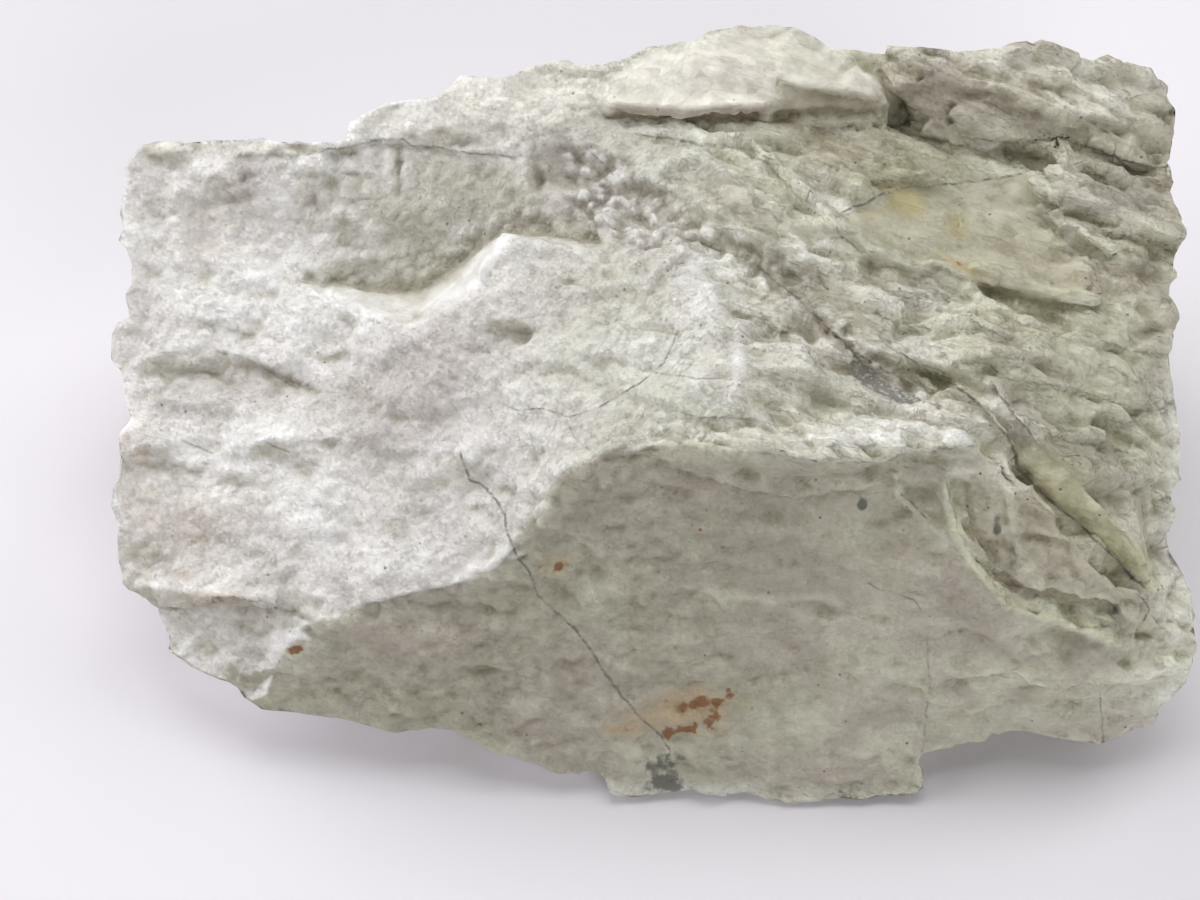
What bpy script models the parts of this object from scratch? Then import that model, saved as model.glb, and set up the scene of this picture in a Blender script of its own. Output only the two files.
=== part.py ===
"""Raw amblygonite: one broken block of massive, cleavable mineral, lying on its flattest side.

Units are metres, +Z is up, and the origin is on the table under the middle of the stone. The
block is closed by two fracture surfaces that meet along its rim. The upper one is what an eye
in front of the stone and above it sees, and the lower one is the rest: the back, the ends and
the face that it lies on.
"""

import math

import bmesh
import bpy
import numpy as np
from mathutils import Vector, noise
from mathutils.geometry import delaunay_2d_cdt

# ---- driving dimensions -------------------------------------------------------------------------

MM = 0.001
LENGTH = 119 * MM  # the longest way, left to right
DRAWN_LENGTH = 1085
UNIT = LENGTH / DRAWN_LENGTH  # one drawing unit, about 0.11 mm

# The upper surface is drawn as the eye sees it, x to the right and y down in drawing units, and
# each drawn point has its height above the table in millimetres.
EYE_ELEVATION = math.radians(55)
EYE_DISTANCE = 620 * MM
DRAWN_CENTRE = (600, 450)
AIM = Vector((0, 0, 20 * MM))  # what the eye looks at

# Between its drawn lines each surface has points of its own, in rows.
UPPER_SPACING = 16.5  # in drawing units, like the row heights
UPPER_ROW_HEIGHT = 14.3
LOWER_SPACING = 27  # the back is seen at a slant, so its rows are closer
LOWER_ROW_HEIGHT = 14.5
ROW_CLEARANCE = 0.62  # of the row height, from a drawn line
ROW_JITTER = 0.3  # of the spacing
STRAY = 0.25 * MM  # how far a drawn line wanders between its points
SEED = 7
TOUCHING = 0.05 * MM  # the base, below this, is one plane and needs no points of its own

# The lower surface turns down behind the rim, so that the edge is blunt.
EDGE_WIDTH = 12  # in drawing units
EDGE_DEPTH = 4.5 * MM
EDGE_HEIGHT = 1.5 * MM  # no rough spots and no blunting this near the table

SMOOTHING_PASSES = 4
LUMP_SIZE = 9  # in millimetres, like the facets' size
LUMP_HEIGHT = 0.75 * MM
FACET_SIZE = 7
FACET_HEIGHT = 0.7 * MM
LENGTHWISE = 0.6  # lumps and facets lie along the stone, so their x counts for less
FRONT_FACING = -0.72  # the y of a normal, past which a face belongs to the front
FRONT_ROUGHNESS = 0.35  # the front parted along a plane
BACK_FACING = 0.45
BACK_ROUGHNESS = 1.5

COLOUR = (0.68, 0.68, 0.61, 1)
ROUGHNESS = 0.75

# ---- the rim ------------------------------------------------------------------------------------

RIM = [
    # the top edge, left to right
    (143, 144, 36.0), (160, 140, 36.5), (200, 140, 37.5), (240, 139, 38.5), (262, 137, 39.0),
    (282, 142, 39.5), (320, 144, 40.5), (348, 142, 41.0), (352, 124, 42.0), (368, 112, 42.5),
    (385, 103, 42.8), (408, 99, 43.0), (435, 97, 43.3), (452, 85, 43.3), (460, 75, 43.0),
    (482, 78, 43.5), (505, 77, 44.0), (535, 64, 44.0), (560, 61, 44.3), (585, 65, 44.8),
    (602, 65, 45.0), (625, 57, 45.2), (650, 46, 45.5), (680, 42, 45.8), (712, 40, 46.0),
    (735, 27, 46.5), (765, 23, 47.0), (795, 25, 47.0), (815, 34, 46.5), (830, 47, 45.2),
    (848, 52, 44.4), (880, 53, 43.6), (897, 48, 44.6), (915, 45, 45.0), (950, 48, 44.6),
    (985, 51, 44.2), (1030, 55, 43.5), (1080, 60, 42.6), (1120, 66, 41.6), (1152, 67, 41.0),
    # the right end, downwards
    (1160, 83, 40.0), (1168, 100, 38.6), (1177, 109, 37.0), (1174, 128, 37.2), (1172, 146, 37.6),
    (1169, 162, 38.4), (1172, 190, 38.2), (1180, 222, 37.4), (1181, 240, 36.6), (1175, 262, 36.0),
    (1171, 288, 35.4), (1173, 312, 34.4), (1171, 335, 33.2), (1167, 355, 32.0), (1173, 377, 31.0),
    (1177, 402, 30.0), (1178, 430, 28.4), (1181, 455, 27.0), (1178, 480, 25.2), (1171, 496, 24.0),
    (1178, 513, 23.0), (1173, 525, 21.8), (1166, 533, 20.6), (1170, 552, 18.0), (1182, 570, 17.0),
    (1191, 596, 16.6), (1193, 620, 16.0), (1197, 642, 15.0), (1193, 663, 13.6), (1187, 672, 12.4),
    (1186, 683, 11.2), (1172, 698, 9.8), (1159, 708, 8.4), (1156, 721, 7.4), (1144, 726, 6.8),
    # the lower edge, right to left
    (1131, 727, 6.4), (1114, 739, 5.6), (1100, 745, 5.0), (1078, 742, 5.0), (1054, 739, 5.4),
    (1036, 734, 5.8), (1021, 731, 6.0), (990, 733, 5.8), (979, 743, 5.2), (955, 742, 5.0),
    (940, 750, 4.4), (922, 753, 4.2), (918, 760, 3.8), (924, 773, 3.0), (923, 789, 2.2),
    (913, 796, 1.6), (880, 796, 1.3), (863, 801, 1.1), (840, 799, 1.2), (810, 802, 0.9),
    (788, 803, 0.8), (765, 799, 1.0), (745, 793, 1.3), (715, 794, 1.2), (688, 791, 1.4),
    (660, 794, 1.2), (634, 798, 1.0), (615, 795, 1.4), (604, 780, 2.6), (595, 770, 3.4),
    (575, 773, 3.2), (558, 775, 3.0), (540, 766, 3.8), (510, 756, 4.8), (480, 744, 6.0),
    (455, 731, 7.0), (430, 729, 7.0), (397, 735, 6.2), (370, 727, 6.6), (338, 718, 7.0),
    (300, 714, 7.0), (262, 711, 7.0), (249, 701, 7.4), (238, 687, 8.2), (228, 682, 8.4),
    (204, 674, 8.6), (190, 666, 8.8), (182, 658, 9.2), (167, 650, 9.4), (168, 635, 10.0),
    # the left end, upwards
    (161, 622, 10.6), (158, 608, 11.4), (145, 598, 12.2), (130, 588, 13.0), (123, 575, 13.8),
    (117, 561, 14.6), (116, 545, 15.6), (118, 525, 17.0), (112, 506, 18.2), (112, 490, 19.2),
    (117, 474, 20.2), (118, 453, 21.4), (120, 436, 22.2), (130, 419, 23.2), (123, 392, 24.2),
    (118, 372, 24.8), (110, 359, 25.0), (111, 334, 26.4), (118, 320, 27.4), (128, 317, 27.8),
    (124, 295, 28.6), (132, 283, 29.4), (132, 264, 30.4), (125, 250, 31.0), (117, 240, 31.2),
    (124, 227, 32.0), (121, 213, 32.4), (124, 190, 33.6), (128, 177, 34.4), (124, 167, 34.8),
    (131, 157, 35.4),
]

# ---- lines on the upper surface: crests, feet of ledges, seams and single points ----------------

LINES = {
    # the long edge between the flatter top and the steep front, from its left end
    "front_crest": [
        (238, 687, 8.2), (268, 693, 9.2), (273, 672, 11.6), (285, 652, 13.8), (299, 630, 16.4),
        (316, 623, 17.6), (338, 621, 18.2), (346, 609, 19.4), (381, 604, 20.6), (400, 597, 21.4),
        (446, 588, 23.0), (497, 568, 26.0), (512, 547, 28.4), (543, 512, 32.2), (563, 476, 36.0),
        (580, 466, 37.2), (604, 451, 39.0), (625, 444, 40.2), (634, 452, 39.6), (655, 456, 39.2),
        (693, 466, 38.2), (739, 482, 36.8), (780, 492, 35.8), (820, 496, 35.2), (856, 489, 35.8),
        (884, 479, 36.8), (905, 474, 37.3), (925, 465, 38.3), (957, 473, 37.4),
    ],
    # the lip over it on the right, which hangs out a little
    "lip": [
        (634, 452, 39.6), (668, 440, 41.2), (708, 443, 41.4), (750, 452, 41.2), (790, 458, 40.9),
        (836, 463, 40.6), (885, 457, 40.6), (925, 450, 40.8), (957, 447, 40.6), (977, 443, 40.2),
    ],
    "lip_foot": [
        (700, 456, 39.6), (750, 468, 38.4), (800, 478, 37.4), (850, 476, 37.6), (890, 467, 38.2),
        (925, 460, 38.8), (957, 464, 38.2),
    ],
    # the step that ends the big flake scar: a bright riser that faces back and up
    "riser_edge": [
        (298, 279, 31.4), (318, 291, 32.8), (341, 304, 34.0), (367, 314, 35.0), (404, 323, 35.5),
        (430, 314, 36.5), (454, 300, 38.0), (479, 281, 39.6), (489, 256, 40.8), (503, 236, 41.3),
        (535, 238, 41.6), (572, 241, 41.8), (594, 246, 41.8),
    ],
    "riser_foot": [
        (298, 279, 31.4), (323, 286, 31.0), (334, 282, 30.8), (365, 287, 30.8), (404, 290, 31.2),
        (427, 286, 31.8), (440, 275, 32.6), (461, 260, 33.8), (485, 242, 35.4), (501, 231, 36.6),
        (535, 233, 37.4), (572, 236, 38.2), (595, 239, 39.0),
    ],
    # the top edge of the scar
    "scar_top": [
        (210, 172, 37.2), (243, 152, 38.8), (262, 155, 38.8), (290, 158, 38.8), (318, 150, 39.8),
        (348, 142, 41.0), (400, 138, 41.2), (412, 147, 40.6), (444, 148, 40.8), (470, 153, 40.8),
        (522, 158, 41.0),
    ],
    # ledges of the left part, each a crest and its foot
    "left_ledge_top": [
        (150, 352, 27.0), (196, 344, 28.1), (240, 356, 28.5), (272, 362, 29.1), (318, 356, 30.5),
        (352, 362, 31.4),
    ],
    "left_ledge_foot": [
        (147, 378, 25.0), (200, 370, 26.2), (244, 384, 26.6), (276, 390, 27.3), (306, 402, 27.8),
        (350, 398, 29.4),
    ],
    "middle_ledge_top": [
        (270, 438, 26.9), (318, 438, 27.9), (352, 432, 28.9), (400, 434, 29.9), (452, 436, 31.6),
        (484, 424, 33.2),
    ],
    "middle_ledge_foot": [
        (278, 462, 25.3), (318, 474, 25.4), (362, 478, 26.2), (406, 494, 26.6), (444, 490, 28.0),
        (462, 466, 30.0),
    ],
    # the crevice over the lower left corner
    "corner_top": [(160, 604, 12.0), (188, 595, 15.6), (226, 596, 17.2), (266, 598, 18.6)],
    "corner_foot": [(158, 608, 11.4), (182, 609, 12.6), (222, 613, 13.6), (256, 607, 15.4), (288, 614, 17.0)],
    # the top lobe's overhang and the face under its right half
    "lobe_lip": [
        (603, 96, 44.2), (614, 104, 43.8), (650, 108, 43.6), (690, 111, 43.6), (725, 107, 43.8),
        (768, 104, 44.2), (776, 82, 45.6), (810, 78, 45.9), (850, 86, 45.5), (874, 94, 44.6),
        (888, 104, 43.0),
    ],
    "lobe_foot": [
        (606, 118, 42.0), (650, 118, 41.6), (690, 119, 41.6), (740, 117, 41.8), (768, 122, 41.9),
        (800, 122, 41.9), (840, 126, 41.6), (872, 124, 41.2), (893, 128, 40.0),
    ],
    # the cleft between the lobe and the right block
    "cleft": [(848, 52, 44.4), (870, 70, 43.2), (884, 86, 42.0), (894, 106, 40.0), (905, 127, 39.6)],
    # the right block: its top edge, its foot, and the rib on its front
    "block_edge": [
        (880, 64, 43.8), (892, 84, 44.0), (912, 84, 44.6), (938, 70, 45.0), (975, 76, 44.4),
        (1004, 90, 43.4), (1040, 110, 42.2), (1085, 122, 41.4), (1130, 140, 40.4), (1164, 150, 38.8),
    ],
    "block_foot": [
        (905, 127, 39.6), (950, 141, 39.2), (985, 150, 39.0), (1010, 141, 39.4), (1040, 136, 39.6),
        (1075, 141, 39.0), (1100, 151, 38.6), (1132, 163, 38.0), (1166, 168, 38.0),
    ],
    "block_rib": [(1004, 90, 43.4), (984, 99, 43.0), (962, 120, 41.6), (953, 137, 39.8)],
    # the lump under the block's right end, and the smooth face beside it
    "lump_left": [(1056, 141, 39.0), (1041, 165, 38.6), (1029, 196, 38.2), (1040, 216, 37.8), (1058, 238, 37.2), (1082, 256, 36.8), (1100, 262, 36.8)],
    "lump_top": [(1068, 150, 40.4), (1057, 170, 40.9), (1052, 196, 40.4), (1062, 222, 39.6), (1100, 248, 38.2)],
    "face_edge": [
        (838, 222, 42.2), (868, 252, 41.6), (905, 262, 41.2), (935, 262, 40.9), (962, 264, 40.6),
        (1000, 277, 39.8), (1050, 286, 39.0), (1100, 291, 38.4),
    ],
    "face_foot": [
        (842, 236, 41.4), (870, 262, 40.8), (908, 272, 40.2), (940, 274, 39.8), (966, 280, 39.3),
        (996, 289, 38.6), (1050, 299, 37.6), (1102, 303, 37.2), (1140, 296, 36.8),
    ],
    # the winding seam from the middle of the top down to the right
    "seam_upper": [
        (590, 152, 41.0), (622, 178, 40.6), (664, 212, 40.4), (700, 240, 40.6), (745, 258, 40.8),
        (780, 280, 40.8), (805, 306, 40.6), (836, 342, 40.4), (872, 372, 40.0), (911, 386, 39.6),
    ],
    "seam_bank": [
        (620, 140, 42.0), (664, 168, 42.4), (706, 200, 42.6), (742, 226, 42.6), (790, 246, 42.2),
        (822, 276, 42.0), (852, 312, 41.8), (880, 340, 41.6), (905, 352, 41.2),
    ],
    "seam_lower": [
        (905, 352, 41.2), (936, 377, 40.0), (957, 388, 39.4), (980, 409, 38.6), (1006, 434, 37.4),
        (1016, 452, 36.2), (1020, 475, 34.6), (1058, 505, 31.4), (1086, 530, 28.8), (1123, 562, 25.4),
        (1137, 580, 23.8), (1153, 593, 22.6), (1150, 614, 20.6), (1139, 632, 18.2),
    ],
    "seam_right": [
        (991, 380, 40.9), (1003, 401, 40.2), (1028, 432, 38.8), (1042, 446, 37.9), (1072, 470, 36.0),
        (1099, 504, 33.0), (1124, 536, 29.6), (1150, 566, 25.6), (1164, 590, 21.6),
    ],
    # the knobbly ridge beside the seam, and the valley in front of it
    "knob_ridge": [
        (977, 443, 40.2), (993, 452, 39.0), (1012, 466, 37.8), (1020, 492, 35.6), (1044, 516, 33.4),
        (1078, 546, 30.4), (1106, 574, 27.4), (1126, 596, 24.6),
    ],
    "hollow_edge": [
        (945, 478, 36.8), (948, 496, 35.3), (957, 516, 33.7), (956, 536, 31.6), (972, 560, 29.4),
        (986, 580, 27.6), (1004, 594, 26.2),
    ],
    "hollow": [
        (966, 484, 35.6), (968, 508, 33.0), (973, 532, 30.8), (985, 553, 28.9), (1004, 574, 27.6),
        (1040, 588, 26.4), (1100, 597, 24.6),
    ],
    # the valley in front of it, under a small lip
    "valley": [(1009, 583, 26.0), (1044, 596, 24.9), (1096, 606, 23.1), (1133, 632, 19.8)],
    "valley_edge": [(1006, 604, 25.2), (1040, 616, 24.0), (1078, 627, 22.4), (1099, 632, 21.4)],
    "fin": [(1099, 632, 21.4), (1089, 647, 19.8), (1070, 656, 18.6), (1042, 653, 19.0)],
    # the shelf low on the right, above the lowest band
    "shelf": [
        (1193, 663, 13.6), (1140, 674, 15.2), (1100, 679, 16.2), (1048, 677, 16.8), (1030, 671, 17.4),
        (1000, 676, 16.8), (962, 683, 15.6), (930, 695, 13.8),
    ],
    "shelf_foot": [
        (1180, 681, 11.8), (1140, 690, 12.2), (1100, 692, 13.2), (1048, 688, 14.2), (1028, 682, 15.0),
        (1000, 686, 14.6), (962, 694, 13.2), (936, 706, 11.8),
    ],
    # the pale back flank that shows past the right end
    "flank": [(1153, 593, 22.6), (1168, 612, 19.0), (1180, 634, 16.6), (1193, 663, 13.6)],
}

POINTS = [
    # the top, left of the middle
    (170, 200, 33.6), (170, 262, 30.9), (230, 210, 34.0), (230, 280, 30.6), (200, 320, 29.6),
    (280, 240, 33.0), (290, 320, 32.0), (150, 440, 22.6), (200, 420, 25.2), (260, 410, 27.0),
    (170, 500, 19.4), (230, 490, 22.0), (195, 545, 17.0), (260, 550, 19.8), (150, 560, 16.0),
    (320, 400, 29.6), (330, 520, 23.0), (400, 540, 23.8), (300, 590, 18.6), (470, 520, 26.8),
    (400, 400, 31.6), (400, 360, 34.0), (450, 400, 33.2), (500, 460, 31.8), (540, 440, 35.0),
    (450, 350, 36.4), (510, 390, 36.4), (560, 400, 38.6), (520, 320, 39.4), (600, 390, 40.2),
    (600, 320, 41.2), (570, 280, 41.0), (650, 300, 42.0), (640, 380, 41.2), (690, 340, 42.2),
    # the scar
    (330, 220, 35.6), (400, 220, 36.4), (460, 200, 37.6), (520, 200, 38.6), (400, 170, 39.6),
    (330, 175, 38.4), (560, 200, 39.4), (560, 170, 40.4), (600, 210, 40.4),
    # the top edge between the scar and the lobe
    (385, 122, 42.0), (440, 120, 42.6), (500, 100, 43.6), (520, 130, 42.6), (570, 110, 43.4),
    (600, 130, 42.4), (560, 140, 42.2), (650, 75, 44.8), (720, 72, 45.4), (790, 55, 46.6),
    # between the lobe and the seam
    (680, 145, 42.6), (740, 150, 42.8), (800, 160, 42.4), (850, 160, 41.6), (800, 210, 42.6),
    (830, 250, 42.0), (900, 160, 40.4), (890, 210, 41.4), (950, 180, 39.8), (1000, 190, 39.0),
    (960, 230, 40.0), (1030, 240, 38.4), (1050, 270, 38.4), (1100, 275, 37.4), (1130, 200, 39.6),
    (1120, 240, 38.4), (1150, 260, 37.0), (1090, 190, 40.4), (1000, 120, 41.4), (1060, 80, 43.0),
    (1110, 100, 41.8), (930, 105, 42.2),
    # the plateau in front of the seam
    (720, 290, 42.4), (760, 330, 42.6), (820, 380, 42.0), (740, 390, 42.0), (800, 430, 41.6),
    (870, 420, 41.4), (940, 420, 40.6), (700, 410, 41.8), (960, 430, 40.4),
    # the right part
    (940, 310, 40.2), (1000, 320, 39.2), (1060, 330, 38.0), (1120, 335, 36.6), (940, 350, 41.2),
    (985, 358, 40.8), (1040, 360, 39.8), (1100, 370, 37.6), (1040, 400, 38.6), (1100, 410, 36.0),
    (1080, 440, 35.8), (1140, 440, 32.4), (1120, 470, 32.6), (1150, 500, 28.0), (1140, 530, 26.0),
    (1060, 480, 34.8), (1090, 520, 31.4), (1120, 560, 27.4), (1175, 600, 18.4), (1165, 640, 17.4),
    # the front
    (921, 494, 33.9), (1000, 500, 35.0), (1000, 540, 30.6), (1050, 560, 28.6), (1085, 582, 26.4),
    (1132, 606, 22.6), (1118, 648, 18.2), (1162, 655, 15.6), (1000, 640, 21.0), (940, 620, 22.2),
    (860, 600, 24.0), (800, 560, 28.6), (700, 540, 30.4), (620, 560, 27.6), (560, 600, 22.6),
    (700, 640, 19.6), (800, 680, 14.8), (880, 700, 12.4), (620, 700, 12.4), (500, 660, 15.6),
    (400, 660, 14.6), (330, 680, 11.8), (1000, 710, 10.2), (1080, 715, 9.4), (230, 650, 11.2),
    (200, 640, 11.4), (250, 630, 13.6),
]

# ---- the lower surface, in millimetres from the aim point's foot --------------------------------

BASE = [
    (-19, -21), (-3, -26.5), (4, -29.5), (24, -30.5), (34, -26), (48, -14), (51, 3), (47, 22),
    (38, 31), (16, 33), (4, 30), (-14, 33), (-34, 26), (-42, 12), (-40, -4), (-32, -15),
]
BACK_LINES = [
    # slanting ledges across the back, each a crest and its foot
    [(-46, 32.5, 22), (-37, 34, 24), (-28, 35.5, 25.5), (-14, 41, 27.5), (-2, 42.5, 30)],
    [(-44, 32.5, 18.5), (-35, 34, 20.5), (-27, 35.5, 22.5), (-14, 38.5, 23), (0, 40, 26)],
    [(6, 41.5, 27), (18, 43.5, 29), (30, 45, 26), (44, 43.5, 21), (57, 37.5, 20)],
    [(8, 39.5, 23.5), (20, 41, 24.5), (32, 42, 21.5), (44, 40.5, 17), (55, 37, 16)],
    [(-39, 31, 9), (-26, 36.5, 12), (-8, 39.5, 16), (8, 39.5, 13)],
    [(-30, 31.5, 6.5), (-20, 34.5, 8.5), (-7, 37, 12), (4, 36, 9)],
    # the upright corners behind, left and right
    [(-49.5, 28.5, 31.5), (-51, 26.5, 24), (-49.5, 27, 13), (-42, 28.5, 4)],
    [(60.5, 35.5, 34), (61.5, 33.5, 26), (60, 34, 17), (54, 32, 7)],
]
ENDS = [
    # under the front rim
    (-36, -20, 5.5), (-44, -12, 7.5), (-47, -2, 8.0), (47, -23, 4.5), (56, -14, 8.5),
    # the left end
    (-50, 10, 12.0), (-48, 18, 5.0), (-50.5, 18, 20.0),
    # the top of the back
    (-38, 32, 33.0), (-16, 38.5, 34.0), (6, 41, 36.0), (26, 41, 37.0), (45, 40, 34.0),
    (30, 37, 9.0), (46, 36, 8.0),
    # the right end
    (61, 18, 26.0), (58, 20, 9.0), (62, 7, 16.0), (57, 8, 5.0), (61, -5, 11.0), (55, -6, 3.5),
]

# ---- drawing and space --------------------------------------------------------------------------

RIGHT = Vector((1, 0, 0))
UP = Vector((0, math.sin(EYE_ELEVATION), math.cos(EYE_ELEVATION)))
FORWARD = Vector((0, math.cos(EYE_ELEVATION), -math.sin(EYE_ELEVATION)))
EYE = AIM - FORWARD * EYE_DISTANCE


def seen_at(x, y, height):
    """The point at this height, in millimetres, that the eye sees at (x, y) of the drawing."""
    across = RIGHT * (x - DRAWN_CENTRE[0]) * UNIT
    up = UP * (DRAWN_CENTRE[1] - y) * UNIT
    ray = FORWARD * EYE_DISTANCE + across + up
    return EYE + ray * (height * MM - EYE.z) / ray.z


def drawn_at(point):
    """Where a point in space is drawn: its x, and its y counted upwards."""
    ray = point - EYE
    scale = EYE_DISTANCE / ray.dot(FORWARD) / UNIT
    return DRAWN_CENTRE[0] + ray.x * scale, ray.dot(UP) * scale - DRAWN_CENTRE[1]


def distance_to(place, segments):
    """How far a place is from the nearest of some line segments."""
    start, along = segments[:, 0], segments[:, 1] - segments[:, 0]
    share = ((place - start) * along).sum(axis=1) / (along**2).sum(axis=1)
    nearest = start + along * np.clip(share, 0, 1)[:, None]
    return np.linalg.norm(nearest - place, axis=1).min()


def cross(a, b):
    return a[..., 0] * b[..., 1] - a[..., 1] * b[..., 0]


# ---- a fracture surface -------------------------------------------------------------------------


class Sheet:
    """One surface of the block: its points, both as drawn and in space, and its drawn lines."""

    def __init__(self, spacing):
        self.spacing = spacing
        self.places = []
        self.points = []
        self.edges = []
        self.chance = np.random.default_rng(SEED)
        self.rim = [self.add(seen_at(*drawn)) for drawn in RIM]
        self.edges += zip(self.rim, self.rim[1:] + self.rim[:1])

    def add(self, point):
        self.places.append(drawn_at(point))
        self.points.append(point)
        return len(self.points) - 1

    def add_line(self, points):
        """Adds a run of points. Its long stretches are parted evenly, and wander a little."""
        indices = []
        for start, end in zip(points, points[1:]):
            stretch = Vector(drawn_at(end)) - Vector(drawn_at(start))
            indices.append(self.add(start))
            parts = max(1, round(stretch.length / self.spacing))
            for part in range(1, parts):
                stray = Vector((*self.chance.uniform(-STRAY, STRAY, 2), 0))
                indices.append(self.add(start.lerp(end, part / parts) + stray))
        indices.append(self.add(points[-1]))
        self.edges += zip(indices, indices[1:])

    def triangulate(self):
        """The triangles inside the rim, as rows of point indices. Points that meet are one."""
        flat = [Vector(place) for place in self.places]
        _, _, faces, sources = delaunay_2d_cdt(flat, self.edges, [], 1, 1e-3)[:4]
        if not all(sources):
            raise ValueError("two drawn lines cross")
        return np.array([[min(sources[corner]) for corner in face] for face in faces])

    def fill(self, row_height):
        """Adds the surface's own points in jittered rows, clear of its drawn lines."""
        faces = self.triangulate()
        places = np.array(self.places)
        corners = places[faces]
        segments = places[np.array(self.edges)]
        (left, low), (right, high) = places.min(axis=0), places.max(axis=0)
        for row, y in enumerate(np.arange(low, high, row_height)):
            for x in np.arange(left + row % 2 * self.spacing / 2, right, self.spacing):
                jitter = self.chance.uniform(-ROW_JITTER, ROW_JITTER, 2)
                place = np.array((x, y)) + jitter * (self.spacing, row_height)
                point = self.on_triangles(place, corners, faces)
                if point is None or point.z < TOUCHING:
                    continue
                if distance_to(place, segments) > row_height * ROW_CLEARANCE:
                    self.add(point)

    def on_triangles(self, place, corners, faces):
        """The point in space that these triangles draw at a place, or None past the rim."""
        a, b, c = corners[:, 0], corners[:, 1], corners[:, 2]
        of_a = cross(b - place, c - place) / cross(b - a, c - a)
        of_b = cross(c - place, a - place) / cross(b - a, c - a)
        shares = np.stack((of_a, of_b, 1 - of_a - of_b), axis=1)
        best = shares.min(axis=1).argmax()
        if shares[best].min() < 0:
            return None
        triangle = [self.points[corner] for corner in faces[best]]
        return sum((point * share for point, share in zip(triangle, shares[best])), Vector())


def upper_surface():
    sheet = Sheet(UPPER_SPACING)
    for line in LINES.values():
        sheet.add_line([seen_at(*drawn) for drawn in line])
    for drawn in POINTS:
        sheet.add(seen_at(*drawn))
    sheet.fill(UPPER_ROW_HEIGHT)
    return sheet


def lower_surface():
    sheet = Sheet(LOWER_SPACING)
    sheet.add_line([Vector((x, y, 0)) * MM for x, y in BASE + BASE[:1]])
    for line in BACK_LINES:
        sheet.add_line([Vector(point) * MM for point in line])
    for point in ENDS:
        sheet.add(Vector(point) * MM)
    blunt_rim(sheet)
    sheet.fill(LOWER_ROW_HEIGHT)
    return sheet


def blunt_rim(sheet):
    """Adds a row of points just inside the rim and a little way behind it."""
    places = np.array(sheet.places)
    segments = places[np.array(sheet.edges)]
    for index in sheet.rim:
        along = places[(index + 1) % len(sheet.rim)] - places[index - 1]
        inward = np.array((along[1], -along[0])) / np.linalg.norm(along)
        place = places[index] + inward * EDGE_WIDTH
        sight = (sheet.points[index] - EYE).normalized()
        behind = sheet.points[index] + sight * EDGE_DEPTH
        if behind.z > EDGE_HEIGHT and distance_to(place, segments) > EDGE_WIDTH * 0.8:
            sheet.add(seen_at(place[0], -place[1], behind.z / MM))


# ---- the stone ----------------------------------------------------------------------------------


def closed_shape():
    """Both surfaces in one closed mesh, with the vertices that stay where they are drawn."""
    shape = bmesh.new()
    rim = []
    drawn = set()
    for sheet, turn in ((upper_surface(), 1), (lower_surface(), -1)):
        faces = sheet.triangulate()
        vertices = dict(enumerate(rim))
        for index in np.setdiff1d(faces, list(vertices)):
            vertices[index] = shape.verts.new(sheet.points[index])
        rim = rim or [vertices[index] for index in sheet.rim]
        drawn |= {vertices.get(index) for edge in sheet.edges for index in edge}
        for face in faces:
            shape.faces.new([vertices[index] for index in face[::turn]])
    return shape, rim, drawn


def smooth(shape, drawn):
    loose = [vertex for vertex in shape.verts if vertex not in drawn]
    axes = {"use_axis_x": True, "use_axis_y": True, "use_axis_z": True}
    for _ in range(SMOOTHING_PASSES):
        bmesh.ops.smooth_vert(shape, verts=loose, factor=0.5, **axes)


def roughen(shape, rim):
    """Lumps and broken facets, all but on the rim and next to the table."""
    rim = set(rim)
    vertices = [vertex for vertex in shape.verts if vertex.co.z > EDGE_HEIGHT]
    moves = []
    for vertex in vertices:
        normal = vertex.normal
        place = Vector((vertex.co.x * LENGTHWISE, vertex.co.y, vertex.co.z)) / MM
        lump = noise.fractal(place / LUMP_SIZE, 1, 2, 3) * LUMP_HEIGHT
        facet = noise.noise(place / FACET_SIZE, noise_basis="VORONOI_F2F1") * FACET_HEIGHT
        if vertex in rim:
            strength = 0
        elif normal.y < FRONT_FACING:
            strength = FRONT_ROUGHNESS
        elif normal.y > BACK_FACING:
            strength = BACK_ROUGHNESS
        else:
            strength = 1
        moves.append(normal * (lump + facet) * strength)
    for vertex, move in zip(vertices, moves):
        vertex.co += move


def centre(shape):
    """Puts the origin under the middle of the stone."""
    corners = np.array([vertex.co for vertex in shape.verts])
    middle = (corners.min(axis=0) + corners.max(axis=0)) / 2
    bmesh.ops.translate(shape, verts=shape.verts, vec=(-middle[0], -middle[1], 0))


def mineral():
    material = bpy.data.materials.new("amblygonite")
    material.use_nodes = True
    shader = material.node_tree.nodes["Principled BSDF"]
    shader.inputs["Base Color"].default_value = COLOUR
    shader.inputs["Roughness"].default_value = ROUGHNESS
    return material


def add_stone():
    shape, rim, drawn = closed_shape()
    smooth(shape, drawn)
    shape.normal_update()
    roughen(shape, rim)
    centre(shape)
    mesh = bpy.data.meshes.new("amblygonite")
    shape.to_mesh(mesh)
    shape.free()
    mesh.materials.append(mineral())
    stone = bpy.data.objects.new("amblygonite", mesh)
    bpy.context.scene.collection.objects.link(stone)


for leftover in list(bpy.data.objects):
    bpy.data.objects.remove(leftover)
add_stone()
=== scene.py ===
import math

import bpy
import numpy as np
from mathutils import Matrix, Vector, noise


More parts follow.
